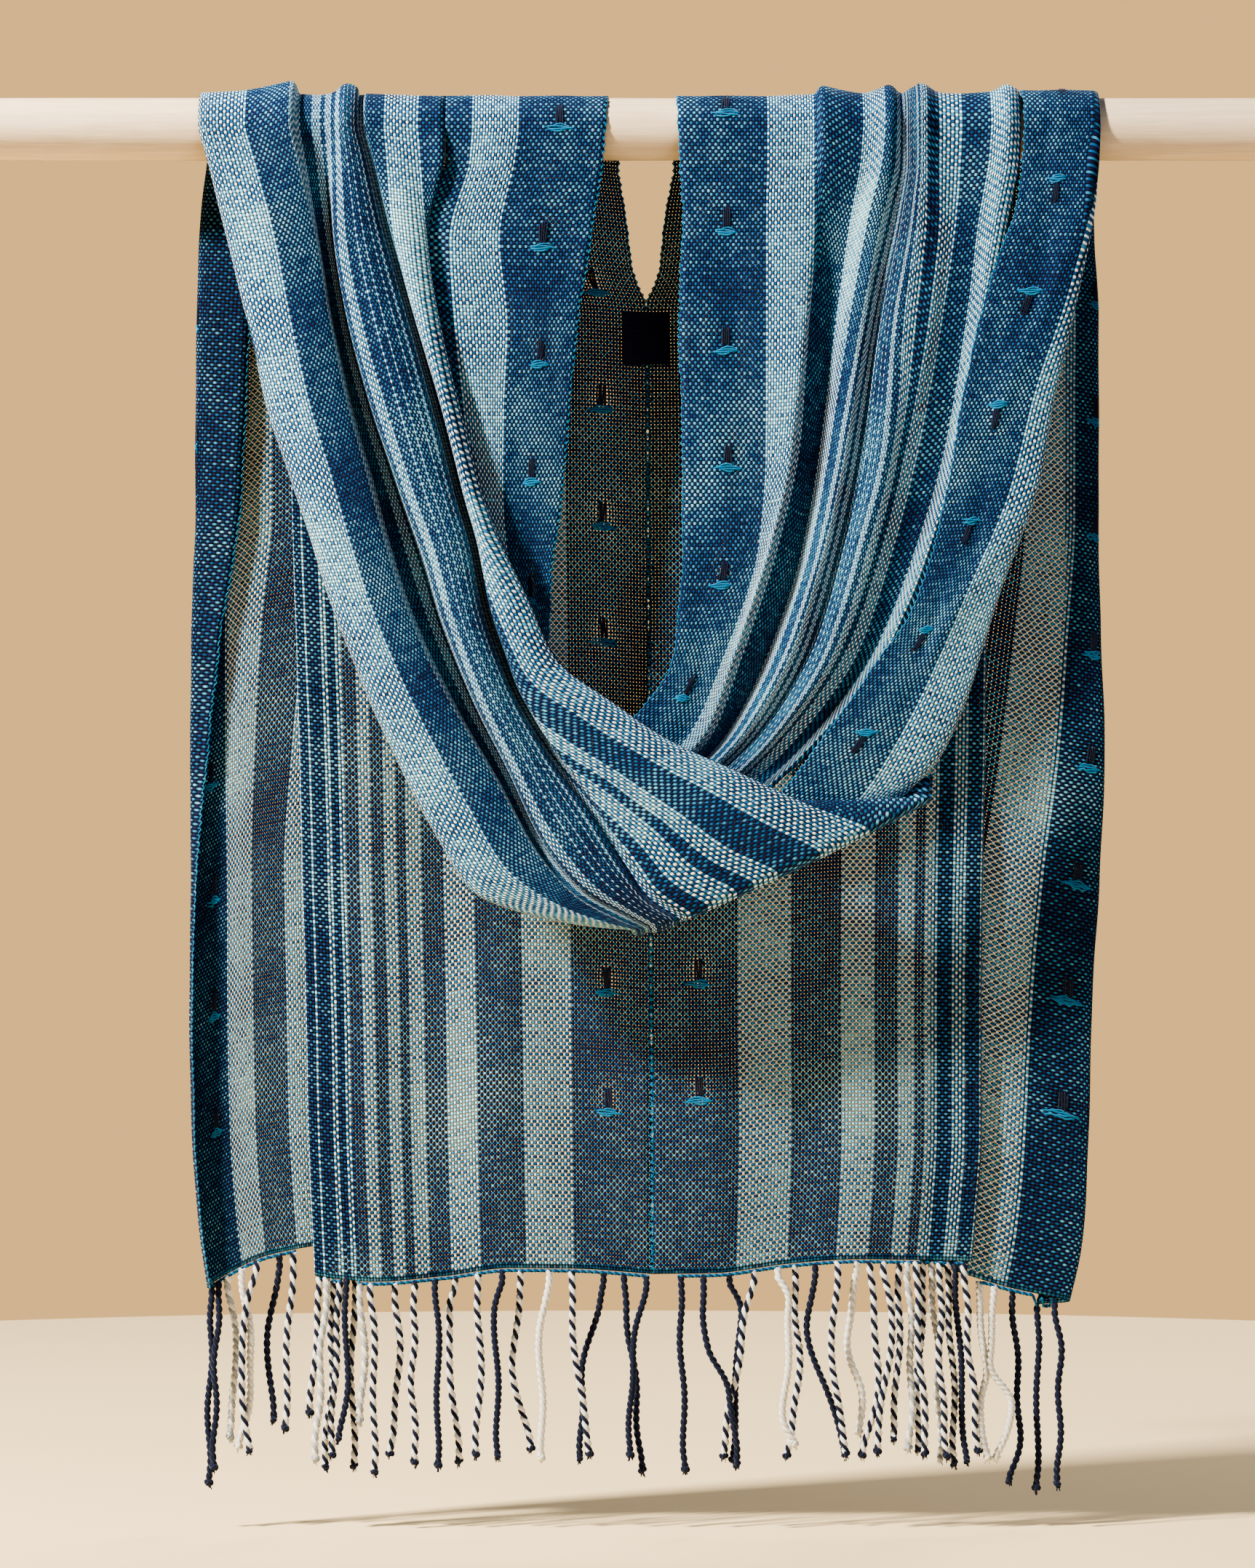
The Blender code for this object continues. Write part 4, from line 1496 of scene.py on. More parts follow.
Fall = namedtuple("Fall", "z blue white_left white_right selvedge y")
EDGE_FALL = (
    Fall(-28, -144.6, -126, -88, -20, -26.6),
    Fall(-90, -170, -142, -100, -29, -25.5),
    Fall(-160, -162, -138, -94, -40, -25.5),
    Fall(-224, -150, -131, -97, -46, -25),
    Fall(-293, -140, -124, -98, -52, -24),
    Fall(-363, -128, -116, -92, -61, -23),
    Fall(-415, -114, -104, -84, -63, -22),
    Fall(-452, -106, -98, -82, -62, -22),
)
EDGE_ON_ROD = ((-144.9, 0), (-124, 0), (-85, 0), (-17, 0))
EDGE_FLATS = (128, 108, 68, 0)
EDGE_CREASES = (
    (118, 60, 60, 210, 9, 1.5), (95, 40, 30, 150, 7, -1.1), (112, 190, 75, 330, 8, -1.5),
    (60, 270, 25, 420, 10, 1.2),
)


class LeftEdge(DrapedCloth):
    """The inner edge of the left front, which falls straight behind the swag."""

    def sections(self) -> tuple[list[list[Point]], list[int], list[int]]:
        """The sections with the steps between them and across them."""
        rows = rod_rows(EDGE_ON_ROD, EDGE_FLATS)
        for row in EDGE_FALL:
            xs = (row.blue, row.white_left, row.white_right, row.selvedge)
            ys = (row.y + 0.5, row.y, row.y - 1.0, row.y)
            rows.append([(x, y, row.z, s) for x, y, s in zip(xs, ys, EDGE_FLATS)])
        return rows, [1] * ROD_STEPS + [2] * len(EDGE_FALL), [1, 2, 3]


Arm = namedtuple("Arm", "left white right y fold")
ARM = (
    Arm((314.5, -28), (367, -28), (375, -28), -34, 69),
    Arm((308, -67), (364, -67), (371, -67), -39, 71),
    Arm((286, -131), (349, -131), (359, -131), -43, 77),
    Arm((267, -212), (322, -212), (340, -212), -45, 87),
    Arm((253, -293), (301, -293), (324, -293), -46, 92),
    Arm((229, -379), (268, -372), (298, -365), -46, 99),
    Arm((196, -430), (248, -419), (284, -409), -45, 105),
    Arm((155, -488), (219, -479), (267, -463), -44, 107),
    Arm((125, -528), (184, -534), (246, -506), -42, 107),
    Arm((108, -552), (163, -556), (222, -532), -40, 107),
)
ARM_ON_ROD = ((315.5, PLEAT_LIFT), (345, PLEAT_LIFT), (370, PLEAT_LIFT), (376, 2.4), (340, 0))
ARM_RETURN = 38.0
ARM_RETURN_FLAT = 36
ARM_CREASES = (
    (20, 60, 52, 240, 9, 1.5), (66, 110, 40, 300, 8, -1.4), (15, 260, 60, 430, 10, 1.4),
    (90, 330, 55, 520, 9, -1.6), (30, 430, 80, 600, 9, 1.5),
)


class RightArm(DrapedCloth):
    """The far end of the left front, which rises over the right front to the rod."""

    def sections(self) -> tuple[list[list[Point]], list[int], list[int]]:
        """The sections with the steps between them and across them."""
        rows = rod_rows(ARM_ON_ROD, (0, 34, 66, 69, 105))
        for row in ARM:
            middle = between(row.left, row.white, 0.5)
            rows.append([
                (row.left[0], row.y + 1, row.left[1], 0),
                (middle[0], row.y, middle[1], 34),
                (row.white[0], row.y - 1, row.white[1], 68),
                (row.right[0], row.y + 2.5, row.right[1], row.fold),
                (row.right[0] - ARM_RETURN, row.y + 6.5, row.right[1], row.fold + ARM_RETURN_FLAT),
            ])
        steps = [1] * ROD_STEPS + [2] * 4 + [3] * (len(ARM) - 4)
        return rows, steps, [3, 3, 2, 4]


Front = namedtuple("Front", "z_left z_right y x lift")
RIGHT_ON_ROD = (
    (40, 0), (110, 0), (149, 1), (156, 8), (188, 2), (209, 9), (219, 2), (235, 10),
    (249, 3), (266, 2), (290, 3), (303, 9), (313, 3), (299, 0),
)
RIGHT = (
    Front(-28, -28, -27,
          (42, 110, 149, 157, 186, 207, 219, 235, 249, 265, 288, 301, 312),
          (0, 1, 3, 6, 2, 8, 2, 9, 4, 2, 3, 7, 3)),
    Front(-73, -73, -27,
          (44, 109, 147, 156, 177, 199, 212, 231, 249, 262, 280, 294, 305),
          (0, 1, 4, 1, -3, 7, 1, 9, 5, 2, 2, 6, 3)),
    Front(-160, -160, -27,
          (41, 109, 141, 145, 163, 186, 196, 216, 240, 250, 269, 281, 290),
          (0, 1, 6, -3, -6, 6, -2, 9, 5, 1, -2, 4, 2)),
    Front(-259, -259, -27,
          (44, 109, 131, 135, 150, 172, 184, 205, 222, 232, 252, 261, 268),
          (0, 1, 7, -6, -10, 6, -3, 10, 4, 0, -5, 2, 1)),
    Front(-334, -334, -27,
          (44, 104, 114, 118, 137, 156, 168, 186, 204, 213, 230, 240, 247),
          (0, 2, 7, -8, -10, 7, -3, 10, 4, 0, -4, 1, 0)),
    Front(-424, -421, -26,
          (36, 76, 85, 89, 108, 128, 141, 158, 173, 183, 195, 203, 210),
          (0, 3, 6, -8, -9, 6, -2, 9, 4, 0, -3, 0, -1)),
    Front(-476, -496, -25,
          (1, 50, 62, 66, 76, 90, 99, 112, 121, 130, 139, 144, 149),
          (0, 2, 4, -5, -5, 4, -1, 6, 3, 0, -2, -1, -2)),
    Front(-508, -532, -24,
          (-28, 20, 30, 34, 43, 56, 64, 76, 85, 93, 101, 106, 110),
          (0, 1, 2, -3, -3, 2, 0, 3, 1, 0, 0, -1, -1)),
)
RIGHT_STEPS = (3, 1, 1, 2, 2, 1, 2, 1, 1, 1, 1, 1, 1)
RIGHT_RETURN = (12.0, 8.0)
RIGHT_FLATS_HIGH = (0, 68, 108, 118, 148, 180, 212, 333, 346, 358, 378, 394, 406, 440)
RIGHT_FLATS_LOW = (0, 68, 97, 104, 138, 210, 246, 315, 347, 359, 377, 401, 406, 440)
RIGHT_SETTLED = -259.0
RIGHT_CREASES = (
    (30, 90, 55, 260, 12, 1.3), (88, 60, 80, 300, 8, -1.2), (12, 250, 45, 400, 10, -1.3),
    (100, 260, 78, 460, 7, 1.4), (170, 90, 160, 280, 6, -1.4), (195, 200, 205, 420, 5, 1.2),
    (340, 120, 335, 330, 5, 1.0), (385, 200, 372, 430, 5, -1.2), (20, 420, 70, 560, 9, 1.2),
)


class RightFront(DrapedCloth):
    """The right front in five folds, tucked behind the swag."""

    def sections(self) -> tuple[list[list[Point]], list[int], list[int]]:
        """The sections with the steps between them and across them."""
        high, low = np.array(RIGHT_FLATS_HIGH), np.array(RIGHT_FLATS_LOW)
        rows = rod_rows(RIGHT_ON_ROD, RIGHT_FLATS_HIGH)
        for row in RIGHT:
            span = row.x[-1] - row.x[0]
            share = min(1.0, (row.z_left - RIGHT[0].z_left) / (RIGHT_SETTLED - RIGHT[0].z_left))
            flats = high + (low - high) * share
            section = []
            for x, lift, flat in zip(row.x, row.lift, flats):
                z = row.z_left + (row.z_right - row.z_left) * (x - row.x[0]) / span
                section.append((x, row.y - lift, z, flat))
            x, y, z, _ = section[-1]
            section.append((x - RIGHT_RETURN[0], y + RIGHT_RETURN[1], z, flats[-1]))
            rows.append(section)
        steps = [1] * (ROD_STEPS + 1) + [3] * (len(RIGHT) - 1)
        return rows, steps, list(RIGHT_STEPS)


LeftRow = namedtuple("LeftRow", "z selvedge edge pleat seam edge_y")
BACK_LEFT = (
    LeftRow(-0.6, -300, -336, -271, -7, 0),
    LeftRow(-26, -300, -339, -271, -7, 0),
    LeftRow(-56, -300, -343, -271, -3, 0),
    LeftRow(-88, -301, -345, -271, 1, 0),
    LeftRow(-116, -302, -346, -271, 6, 0),
    LeftRow(-143, -304, -347, -271, 15, 0),
    LeftRow(-215, -307, -348, -271, 16, 0),
    LeftRow(-305, -312, -349, -270, 16.5, 0),
    LeftRow(-400, -327, -351, -267, 17, 0),
    LeftRow(-500, -338, -352, -264, 18, 1),
    LeftRow(-600, -347, -352, -262, 18.5, 4),
    LeftRow(-700, -350, -353, -259, 19, 7),
    LeftRow(-800, -348, -351, -257, 20, 7),
    LeftRow(-865, -342, -345, -254, 20, 6),
    LeftRow(-905, -336, -339, -252, 20, 5),
)
RightRow = namedtuple("RightRow", "z seam pleat edge")
BACK_RIGHT = (
    RightRow(-0.6, 37, 293, 376),
    RightRow(-26, 37, 293, 376),
    RightRow(-56, 32, 292, 376),
    RightRow(-88, 28, 292, 377),
    RightRow(-116, 24, 291, 379),
    RightRow(-143, 15, 291, 380),
    RightRow(-215, 16, 290, 380),
    RightRow(-305, 16.5, 290, 380),
    RightRow(-400, 17, 289, 382),
    RightRow(-500, 18, 288, 385),
    RightRow(-600, 18.5, 286, 381),
    RightRow(-700, 19, 285, 375),
    RightRow(-800, 20, 285, 372),
    RightRow(-865, 20, 281, 367),
    RightRow(-905, 20, 277, 357),
)
LEFT_RETURN = 34.0
RIGHT_RETURN_BACK = 42.0
EDGE_RETURN = 26.0
WAVES = (0.0, 2.4, -1.6, 2.2, -1.4, 0.0)
HEM_LEFT = (-931, -930, -905, -893, -897, -902, -918, -920, -925, -921, -914, -915, -919)
HEM_RIGHT = (-919, -918, -911, -907, -908, -909, -909, -907, -908, -930, -942, -945)
HEM_ROWS = (0.35, 0.8, 1.0)
LEFT_SHARES = (0.18, 0.38, 0.58, 0.79)
RIGHT_SHARES = (0.2, 0.42, 0.64, 0.86)
LEFT_EDGE_FLATS = ((-600, 545), (-500, 536), (-400, 526), (-305, 512), (-44, 502))
RIGHT_EDGE_FLATS = ((-624, 524), (-305, 509))
RIGHT_MIDDLE_FLATS = ((-913, 480), (-624, 469), (-305, 442))
BACK_LEFT_CREASES = (
    (60, 20, 75, 260, 16, 1.8), (130, 60, 118, 420, 13, -1.6), (190, 10, 205, 200, 11, 1.5),
    (245, 40, 235, 330, 12, -1.7), (35, 200, 20, 470, 12, -1.2), (160, 330, 175, 620, 15, 1.6),
    (90, 480, 70, 760, 13, 1.4), (420, 30, 400, 300, 10, 1.4), (470, 120, 455, 470, 11, -1.6),
    (515, 200, 530, 420, 8, 1.5), (500, 520, 525, 700, 8, -1.4), (440, 560, 430, 820, 11, 1.2),
)
BACK_RIGHT_CREASES = (
    (55, 30, 40, 330, 15, -1.7), (115, 10, 125, 240, 12, 1.6), (170, 80, 160, 480, 14, -1.5),
    (225, 20, 232, 300, 10, 1.8), (85, 300, 100, 600, 13, 1.3), (200, 420, 215, 700, 12, 1.5),
    (30, 560, 45, 800, 12, 1.2), (455, 50, 470, 380, 11, 1.5), (500, 140, 485, 500, 9, -1.6),
    (470, 560, 490, 840, 10, 1.4),
)


def keyed(table: Sequence[Point], z: float) -> float:
    """The table's value at a height, level beyond its ends."""
    return float(np.interp(z, [row[0] for row in table], [row[1] for row in table]))


class BackPanel(DrapedCloth):
    """A back panel, level sections with the last ones bent to the hem's own line."""

    rows_table: tuple = ()
    hem_line: tuple[float, ...] = ()
    across_steps: tuple[int, ...] = ()

    ROW_GAP = 22
    FULL_WAVE = 600

    def keys(self, row: tuple) -> list[Point]:
        """The key points of a section: x, y and place in the flat cloth."""
        raise NotImplementedError

    def sections(self) -> tuple[list[list[Point]], list[int], list[int]]:
        """The sections with the steps between them and across them."""
        rows = []
        table = self.rows_table
        first_bent = len(table) - len(HEM_ROWS)
        for i, row in enumerate(table):
            share = HEM_ROWS[i - first_bent] if i >= first_bent else 0
            rows.append([
                (x, y, row.z + (hem - table[-1].z) * share, flat)
                for (x, y, flat), hem in zip(self.keys(row), self.hem_line)
            ])
        gaps = [abs(a.z - b.z) for a, b in zip(table, table[1:])]
        return rows, [max(1, round(gap / self.ROW_GAP)) for gap in gaps], list(self.across_steps)

    def wave(self, height: float, index: int) -> float:
        """How far a soft fold stands out, growing with the distance below the rod."""
        return WAVES[index] * min(1.0, height / self.FULL_WAVE)


class BackLeft(BackPanel):
    """The left back: folded edge strip, outer part, pleat and main part up to the seam."""

    rows_table = BACK_LEFT
    hem_line = HEM_LEFT
    across_steps = (2, 3, 3, 1, 1, 1, 1, 3, 3, 3, 3, 3)

    SLIDE_TOP = 305
    SLIDE_RUN = 265

    def keys(self, row: LeftRow) -> list[Point]:
        """The key points of a section.

        Args:
            row: The section's row of the table.

        Returns:
            The x, y and place in the flat cloth of each.
        """
        y = WRAP_RADIUS
        turn = row.pleat + LEFT_RETURN
        seam = row.seam - SEAM_GAP / 2
        main = [
            (row.pleat + (seam - row.pleat) * t, y - self.wave(-row.z, i + 1), 293 * (1 - t))
            for i, t in enumerate(LEFT_SHARES)
        ]
        low = min(1.0, max(0.0, (-row.z - self.SLIDE_TOP) / self.SLIDE_RUN))
        return [
            (row.selvedge, y + LAYER * 0.4 - row.edge_y, 550),
            (row.edge, y + LAYER * 1.3, keyed(LEFT_EDGE_FLATS, row.z)),
            (row.edge + (row.pleat - row.edge) * 0.55, y + 2 * LAYER + 1, 461 - 20 * low),
            (turn - 5, y + 2.4 * LAYER, 399 - 54 * low),
            (turn, y + 1.8 * LAYER, 394 - 54 * low),
            (turn - 5, y + 1.2 * LAYER, 385 - 50 * low),
            (row.pleat + 7, y + 1.3 * LAYER, 310 - 10 * low),
            (row.pleat, y + 0.5 * LAYER, 293),
            *main,
            (seam, y, 0),
        ]


class BackRight(BackPanel):
    """The right back, from the seam to the edge folded behind."""

    rows_table = BACK_RIGHT
    hem_line = HEM_RIGHT
    across_steps = (3, 3, 3, 3, 2, 1, 1, 1, 3, 3, 2)

    def keys(self, row: RightRow) -> list[Point]:
        """The key points of a section.

        Args:
            row: The section's row of the table.

        Returns:
            The x, y and place in the flat cloth of each.
        """
        y = WRAP_RADIUS
        turn = row.pleat - RIGHT_RETURN_BACK
        seam = row.seam + SEAM_GAP / 2
        main = [
            (seam + (row.pleat - seam) * t, y - self.wave(-row.z, i + 1), 258 * t)
            for i, t in enumerate(RIGHT_SHARES)
        ]
        middle = keyed(RIGHT_MIDDLE_FLATS, row.z)
        return [
            (seam, y, 0),
            *main,
            (row.pleat, y + 0.5 * LAYER, 258),
            (row.pleat - 5, y + 1.1 * LAYER, 263),
            (turn + 2, y + 1.25 * LAYER, 300),
            (turn + 2, y + 2 * LAYER, middle - 71),
            (row.pleat + (row.edge - row.pleat) * 0.35, y + 2 * LAYER + 1, middle),
            (row.edge, y + 2.7 * LAYER, keyed(RIGHT_EDGE_FLATS, row.z)),
            (row.edge - EDGE_RETURN, y + 3.8 * LAYER, 550),
        ]


class Ply(Enum):
    """The two strands that a fringe cord is twisted from."""

    NAVY = (Yarn.NAVY, Yarn.NAVY)
    CREAM = (Yarn.CREAM, Yarn.CREAM)
    MIXED = (Yarn.NAVY, Yarn.CREAM)
    PALE = (Yarn.PALE, Yarn.CREAM)


Cord = namedtuple("Cord", "root ply places")
FRINGE_LEFT_OUTER = (
    Cord(-335, Ply.NAVY, (-337, -1010, -338, -1094)),
    Cord(-329.5, Ply.NAVY, (-332, -1000, -333, -1080)),
    Cord(-323, Ply.PALE, (-316, -994, -322, -1057)),
    Cord(-311, Ply.CREAM, (-303, -998, -315, -1064)),
    Cord(-299, Ply.MIXED, (-312, -981, -304, -1067)),
    Cord(-281, Ply.NAVY, (-290, -969, -286, -1043)),
    Cord(-270, Ply.MIXED, (-274, -980, -277, -1050)),
)
FRINGE_LEFT = (
    Cord(-248, Ply.MIXED, (-252, -980, -256, -1036)),
    Cord(-242.5, Ply.PALE, (-247, -1000, -251, -1072)),
    Cord(-237, Ply.MIXED, (-239, -1000, -244, -1080)),
    Cord(-231.5, Ply.MIXED, (-236, -1000, -238, -1069)),
    Cord(-226, Ply.NAVY, (-226, -1000, -233, -1056)),
    Cord(-220.5, Ply.MIXED, (-222, -1010, -221, -1081)),
    Cord(-215, Ply.PALE, (-212, -1000, -216, -1042)),
    Cord(-207, Ply.MIXED, (-203, -1000, -204, -1082)),
    Cord(-187, Ply.MIXED, (-184, -994, -193, -1070)),
    Cord(-171, Ply.MIXED, (-173, -1000, -171, -1076)),
    Cord(-155, Ply.NAVY, (-152, -1000, -153, -1078)),
    Cord(-139, Ply.MIXED, (-145, -950, -136, -1076)),
    Cord(-120, Ply.MIXED, (-119, -1000, -122, -1069)),
    Cord(-101, Ply.NAVY, (-106, -948, -104, -1069)),
    Cord(-86, Ply.MIXED, (-92, -988, -77, -1065)),
    Cord(-63, Ply.CREAM, (-70, -965, -69, -1072)),
    Cord(-45, Ply.MIXED, (-40, -1000, -29, -1069)),
    Cord(-19, Ply.NAVY, (-37, -1010, -38, -1074)),
    Cord(-3, Ply.NAVY, (5, -998, 12, -1082)),
    Cord(15, Ply.NAVY, (3, -998, 2, -1070)),
)
FRINGE_RIGHT = (
    Cord(43, Ply.NAVY, (44, -1000, 47, -1081)),
    Cord(61, Ply.NAVY, (64, -977, 83, -1016, 88, -1077)),
    Cord(82, Ply.NAVY, (91, -954, 84, -1074)),
    Cord(102, Ply.MIXED, (94, -959, 76, -1071)),
    Cord(121, Ply.CREAM, (131, -943, 126, -1030, 137, -1060)),
    Cord(135, Ply.MIXED, (138, -1003, 127, -1071)),
    Cord(151, Ply.NAVY, (145, -959, 161, -1016, 176, -1065)),
    Cord(169, Ply.MIXED, (165, -990, 177, -1069)),
    Cord(185, Ply.CREAM, (177, -969, 188, -1016, 186, -1052)),
    Cord(195, Ply.MIXED, (202, -995, 188, -1070)),
    Cord(206, Ply.MIXED, (213, -948, 200, -1066)),
    Cord(219, Ply.MIXED, (218, -990, 214, -1057)),
    Cord(225.5, Ply.PALE, (229, -1000, 226, -1064)),
    Cord(232, Ply.MIXED, (236, -990, 240, -1069)),
    Cord(238.5, Ply.MIXED, (235, -1000, 234, -1066)),
    Cord(245, Ply.PALE, (250, -990, 252, -1074)),
    Cord(251.5, Ply.MIXED, (252, -1000, 258, -1071)),
    Cord(258, Ply.MIXED, (262, -990, 264, -1078)),
    Cord(264.5, Ply.NAVY, (268, -1000, 274, -1074)),
    Cord(271, Ply.MIXED, (276, -990, 283, -1066)),
)
FRINGE_RIGHT_OUTER = (
    Cord(284, Ply.CREAM, (289, -995, 284, -1024, 292, -1073)),
    Cord(296, Ply.CREAM, (291, -990, 311, -1024, 294, -1073)),
    Cord(311, Ply.NAVY, (317, -1043, 307, -1093)),
    Cord(331, Ply.NAVY, (332, -1010, 330, -1099)),
    Cord(345, Ply.NAVY, (349, -990, 347, -1095)),
)


@dataclass
class Fringe:
    """Twisted two-ply cords with knotted ends, hung from a twined strip at the hem.

    Attributes:
        name: The piece's name.
        node: The frame's node that it stands for.
        cords: The cords' table.
        hem: The hem's points that the strip follows, in mm.
        seed: Starts this fringe's own row of chances.
    """

    name: str
    node: str
    cords: tuple[Cord, ...]
    hem: np.ndarray
    seed: int

    TWIST = 11.5
    STRAND_RADIUS = {Yarn.NAVY: 1.6, Yarn.CREAM: 1.9, Yarn.PALE: 1.75}
    STRAND_OFFSET = 1.4
    POINT_GAP = 1.5
    LANE_DEPTH = 6.5
    LANES = (0, -1, 1)
    STRIP_DROP = 1.9
    STRIP_OVERHANG = 2.5
    TWINE_STEP = 0.8
    TWINE_PITCH = 5.4
    TWINE_REACH = 0.8
    TWINE_RADIUS = 0.9
    ROOT_DROP = 9.4
    KNOT_SIZE = 2.6
    KNOT_LOOP = 0.62
    KNOT_SQUEEZE = 0.55
    KNOT_RADIUS = 1.5
    TUFT_STRANDS = 6
    TUFT_LENGTH = 7.0
    TUFT_RADIUS = 0.7

    def hem_at(self, x: float) -> tuple[float, float]:
        """Finds the hem.

        Args:
            x: Where along the rod, in mm.

        Returns:
            The hem's y and z there.
        """
        order = np.argsort(self.hem[:, 0])
        xs, ys, zs = (self.hem[order, i] for i in range(3))
        return float(np.interp(x, xs, ys)), float(np.interp(x, xs, zs))

    def twine(self, tubes: Tubes) -> None:
        """Adds the twined yarns that close the hem above the cords.

        Args:
            tubes: The yarns so far.
        """
        low = self.cords[0].root - self.STRIP_OVERHANG
        high = self.cords[-1].root + self.STRIP_OVERHANG
        stops = np.arange(low, high, self.TWINE_STEP)
        for phase, yarn in ((0.0, Yarn.DEEP), (math.pi, Yarn.TEAL)):
            line = []
            for x in stops:
                y, z = self.hem_at(x)
                turn = 2 * math.pi * x / self.TWINE_PITCH + phase
                forward = self.TWINE_REACH * math.cos(turn)
                upward = self.TWINE_REACH * math.sin(turn)
                line.append((x, y + forward, z - self.STRIP_DROP + upward))
            tubes.add(line, self.TWINE_RADIUS, yarn)

    def spine(self, cord: Cord, lane: float, chance: random.Random) -> np.ndarray:
        """The middle line of a cord, an even step apart.

        Args:
            cord: The cord's row: its root, its yarns and the x and z of the places it hangs to.
            lane: How far behind or before the hem it hangs.
            chance: The fringe's own chances.

        Returns:
            The points, in mm.
        """
        y, z = self.hem_at(cord.root)
        keys = [
            (cord.root, y, z - self.STRIP_DROP),
            (cord.root, y + lane * 0.5, z - self.ROOT_DROP),
        ]
        keys += [(x, y + lane, low) for x, low in zip(cord.places[::2], cord.places[1::2])]
        rough = eased(keys, [4] + [16] * (len(keys) - 2))
        run = np.concatenate([[0], np.cumsum(np.linalg.norm(np.diff(rough, axis=0), axis=1))])
        stops = np.arange(0, run[-1], self.POINT_GAP)
        line = np.stack([np.interp(stops, run, rough[:, i]) for i in range(3)], axis=1)
        grow = np.clip(stops / 30.0, 0, 1) * np.clip((run[-1] - stops) / 20.0, 0.2, 1)
        line[:, 0] += grow * 1.5 * np.sin(stops / chance.uniform(11, 20) + chance.uniform(0, 6))
        line[:, 1] += grow * 0.8 * np.sin(stops / chance.uniform(9, 16) + chance.uniform(0, 6))
        return line

    def twist(self, tubes: Tubes, line: np.ndarray, ply: Ply, chance: random.Random) -> None:
        """Adds a cord's two strands, wound round its middle line.

        Args:
            tubes: The yarns so far.
            line: The cord's middle line, in mm.
            ply: Its two yarns.
            chance: The fringe's own chances.
        """
        stops = np.arange(len(line)) * self.POINT_GAP
        pitch = self.TWIST * chance.uniform(0.88, 1.12)
        first = chance.uniform(0, 2 * math.pi)
        for half, yarn in enumerate(ply.value):
            turn = first + half * math.pi + 2 * np.pi * stops / pitch
            strand = line.copy()
            strand[:, 0] += self.STRAND_OFFSET * np.cos(turn)
            strand[:, 1] += self.STRAND_OFFSET * np.sin(turn)
            tubes.add(strand, self.STRAND_RADIUS[yarn], yarn)

    def knot(self, tubes: Tubes, tip: np.ndarray, ply: Ply, chance: random.Random) -> None:
        """Adds the overhand knot at a cord's end and the tuft below it.

        Args:
            tubes: The yarns so far.
            tip: The cord's end, in mm.
            ply: Its two yarns.
            chance: The fringe's own chances.
        """
        turn = np.linspace(0, 2 * np.pi, 26)
        size = self.KNOT_SIZE
        spin = chance.uniform(0, math.pi)
        loop = size * self.KNOT_LOOP * self.KNOT_SQUEEZE
        x = loop * (np.sin(turn) + 2 * np.sin(2 * turn))
        y = loop * (np.cos(turn) - 2 * np.cos(2 * turn))
        z = -size * np.sin(3 * turn) * self.KNOT_SQUEEZE
        turned_x = x * math.cos(spin) - z * math.sin(spin)
        turned_z = x * math.sin(spin) + z * math.cos(spin)
        knot = np.stack([tip[0] + turned_x, tip[1] + y, tip[2] - 1.2 + turned_z], axis=1)
        tubes.add(knot, self.KNOT_RADIUS, ply.value[0])
        for i in range(self.TUFT_STRANDS):
            yarn = ply.value[i % 2]
            spread = chance.uniform(-2.4, 2.4), chance.uniform(-1.6, 1.6)
            length = self.TUFT_LENGTH * chance.uniform(0.5, 0.9)
            tuft = [
                (tip[0] + spread[0] * t, tip[1] + spread[1] * t, tip[2] - 1.0 - length * t)
                for t in (0.0, 0.35, 0.7, 1.0)
            ]
            tubes.add(tuft, self.TUFT_RADIUS, yarn, taper=True)

    def build(self, groups: Groups) -> bpy.types.Object:
        """Makes the fringe.

        Args:
            groups: The shared node groups.

        Returns:
            The new object.
        """
        chance = random.Random(self.seed)
        tubes = Tubes(self.name, 6)
        self.twine(tubes)
        for index, cord in enumerate(sorted(self.cords, key=lambda c: c.root)):
            lane = self.LANES[index % len(self.LANES)] * self.LANE_DEPTH
            line = self.spine(cord, lane, chance)
            short = line[: -int(self.TUFT_LENGTH / self.POINT_GAP)]
            self.twist(tubes, short, cord.ply, chance)
            self.knot(tubes, short[-1], cord.ply, chance)
        made = tubes.sew_on(groups, Slot.FRINGE)
        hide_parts(self.node)
        return made


@dataclass
class CentreSeam:
    """Joining stitches that lace the two back panels from the neck slit to the hem.

    Attributes:
        edge: The left panel's points along the seam, in mm.
        top: Height of the neck slit's lower end.
        pitch: Distance between two stitches.
        reach: How far a stitch goes into each panel.
        radius: The yarn's radius.
    """

    edge: np.ndarray
    top: float = -143.0
    pitch: float = 7.0
    reach: float = 2.6
    radius: float = 0.55

    def build(self, groups: Groups) -> bpy.types.Object:
        """Makes the lacing yarn.

        Args:
            groups: The shared node groups.

        Returns:
            The new object.
        """
        edge = self.edge[self.edge[:, 2] < self.top]
        edge = edge[np.argsort(-edge[:, 2])]
        heights = np.arange(self.top - 1, edge[-1, 2] + 2, -self.pitch / 4)
        tubes = Tubes("centre_seam", 4)
        line = []
        for i, z in enumerate(heights):
            x = float(np.interp(-z, -edge[:, 2], edge[:, 0])) + SEAM_GAP / 2
            turn = 2 * math.pi * i / 4
            side = self.reach * math.sin(turn)
            line.append((x + side, WRAP_RADIUS - 0.95 * math.cos(turn), z))
        tubes.add(line, self.radius, Yarn.TEAL)
        return tubes.sew_on(groups, Slot.CLOTH)


